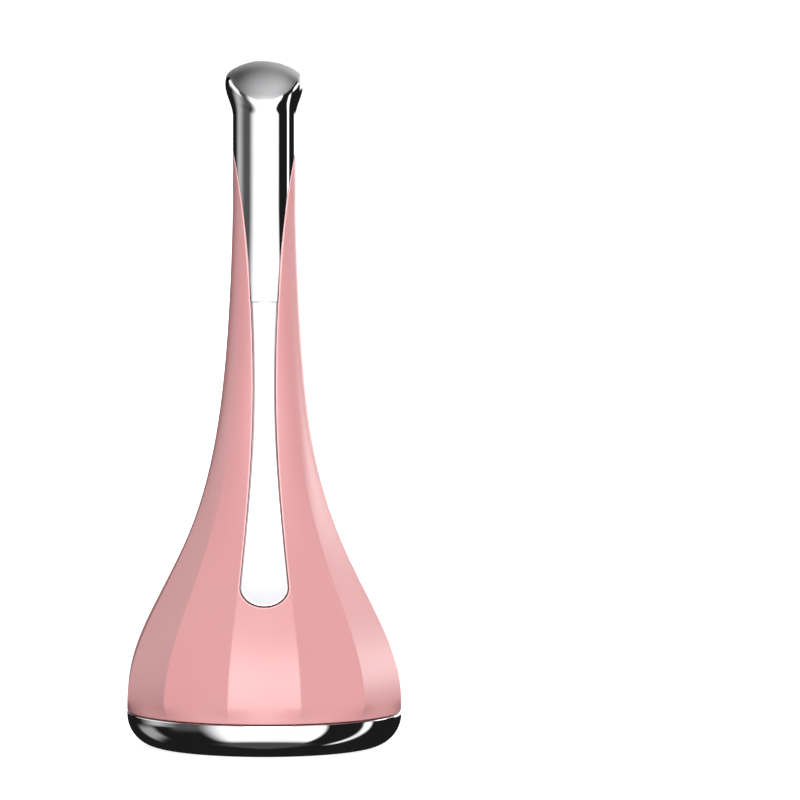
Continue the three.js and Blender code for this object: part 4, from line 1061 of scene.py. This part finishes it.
coldPlateTurned = coldPlate()
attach(coldPlateTurned, "device")
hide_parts("cold_plate")
print("plate:", len(coldPlateTurned.data.polygons), "faces")

# Every solid that is shown as it is gets the finish of its slot

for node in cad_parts.values():
    for slot in node.material_slots:
        if slot.material.name in plain:
            slot.material = plain[slot.material.name]
print("finishes given to the solids")

# Studio

camera = {
    "distance": 4.0,
    "elevation": 5.4,
    "aim": 0.07585,
    "pixels": 800,
    "pixelSize": 0.0002185,  # metres of the object to a pixel
    "shift": 0.1696,
}

# Soft cards round the object: left, right, lower and upper edge, each with its softness, and the brightness.
# Degrees to the right of the front, and above the horizon.
studio = {
    "front": ((-47, 13), (54.7, 2.5), (-57, 7), (49, 6), 1.12),
    "window": ((-13, 8), (18, 8), (-2, 8), (37, 6), 5.4),
    "left": ((-118, 14), (-90, 14), (-13, 3), (3, 3), 0.5),
    "leftHigh": ((-137, 4), (-84, 6), (0, 3), (38, 8), 1.08),
    "leftLow": ((-138, 5), (-112, 6), (-36, 6), (-16, 5), 0.35),
    "leftGap": ((-88, 6), (-46, 8), (-20, 10), (40, 10), 0.08),
    "right": ((94, 3), (103, 3), (-20, 14), (-1, 6), 1.8),
    "rightLow": ((94, 3), (103, 3), (-58, 6), (-20, 14), 1.0),
    "highRight": ((108, 6), (126, 5), (2, 5), (18, 5), 5.6),
    "rearRight": ((144, 5), (186, 2), (-4, 3), (9, 4), 5.0),
    "under": ((-70, 20), (70, 20), (-120, 1), (-62, 6), 0.06),
}

# Brightness of the ceiling, its gain to the right and to the front, and where it begins, as for a card
ceiling = {"light": 0.53, "right": 0.42, "front": 0.55, "from": (53, 17)}

backWall = {
    "light": 0.5,
    "slope": 1.0,  # gain to the right
    "behind": (0.4, 0.9),  # how far a direction points back where the wall begins and where it is full
    "above": (-0.05, 0.1),  # and how far up
    "dark": 0.012,  # brightness of all the rest
}

# Two lamps behind, which the mirrors don't see: degrees across and up, metres away, size and power
backLamps = [(-168, 28, 1.2, 0.7, 10.0), (136, 8, 1.2, 0.7, 14.0)]

paper = {
    "half": 6.0,
    "drop": 0.00005,  # how far it lies under the object
    "light": (0.6, 0.6, 0.6, 1),
    "dark": (0.58, 0.58, 0.58, 1),
    "grain": 3.0,
    "roughness": 0.9,
    "glow": 0.75,
}


def makeCamera():
    # The lens is as long as the distance times the sensor's width over the picture's width at the object
    data = bpy.data.cameras.new("camera")
    data.lens = data.sensor_width * camera["distance"] / (camera["pixels"] * camera["pixelSize"])
    data.shift_x = camera["shift"]
    made = bpy.data.objects.new("camera", data)
    tilt, away = np.radians(camera["elevation"]), camera["distance"]
    made.location = (0, -away * np.cos(tilt), camera["aim"] + away * np.sin(tilt))
    made.rotation_euler = (np.pi / 2 - tilt, 0, 0)
    bpy.context.scene.collection.objects.link(made)
    bpy.context.scene.camera = made


def makeWorld():
    # A dark studio with soft white cards round it and a dim wall behind, laid out by direction
    world = bpy.data.worlds.new("studio")
    world.use_nodes = True
    bpy.context.scene.world = world
    maker = Maker(world.node_tree)
    degree = float(np.degrees(1))
    x, y, z = maker.split(maker.node("ShaderNodeTexCoord", None, None, 0))
    across = x.math("ARCTAN2", -y) * degree
    height = z.math("ARCSINE") * degree

    def past(value, edge):
        place, soft = edge
        return value.step(place - soft, place + soft)

    wall = y.step(*backWall["behind"]) * z.step(*backWall["above"])
    total = wall * (x * backWall["slope"] + backWall["light"]) + backWall["dark"]
    lean = x * ceiling["right"] - y * ceiling["front"] + ceiling["light"]
    total = past(height, ceiling["from"]) * lean + total
    for left, right, low, high, light in studio.values():
        wide = past(across, left) - past(across, right)
        tall = past(height, low) - past(height, high)
        total = wide * tall * light + total
    shader = maker.node("ShaderNodeBackground", None, {"Color": (1, 1, 1, 1), "Strength": total})
    maker.node("ShaderNodeOutputWorld", None, {"Surface": shader})


def makeBackLamps():
    # Each stands out from the origin by its distance, in its direction, and faces back
    for across, height, distance, size, power in backLamps:
        lamp = bpy.data.lights.new("backLamp", "AREA")
        lamp.size, lamp.energy = size, power
        made = bpy.data.objects.new("backLamp", lamp)
        turn, tilt = np.radians(across), np.radians(height)
        made.location = around(distance * np.cos(tilt), turn, distance * np.sin(tilt))
        made.rotation_euler = (np.pi / 2 - tilt, 0, turn)
        made.visible_glossy = False
        made.visible_camera = False
        bpy.context.scene.collection.objects.link(made)


def makeFloor():
    # A pale sheet that the mirrors don't pick up
    half, level = paper["half"], -paper["drop"]
    corners = [(-half, -half, level), (half, -half, level), (half, half, level), (-half, half, level)]
    mesh = bpy.data.meshes.new("floor")
    mesh.from_pydata(corners, [], [(0, 1, 2, 3)])
    floor = bpy.data.objects.new("floor", mesh)
    bpy.context.scene.collection.objects.link(floor)
    material, maker = newMaterial("floorPaper")
    finishShader(maker, {
        "Base Color": maker.mix(maker.noise(paper["grain"], 2.0), paper["light"], paper["dark"]),
        "Roughness": paper["roughness"],
        "Specular IOR Level": 0.0,
        "Emission Color": (1, 1, 1, 1),
        "Emission Strength": paper["glow"],
    })
    mesh.materials.append(material)
    floor.visible_glossy = False
    floor.visible_diffuse = False


makeCamera()
makeWorld()
makeBackLamps()
makeFloor()
bpy.context.scene.view_settings.view_transform = "Standard"
print("studio made")
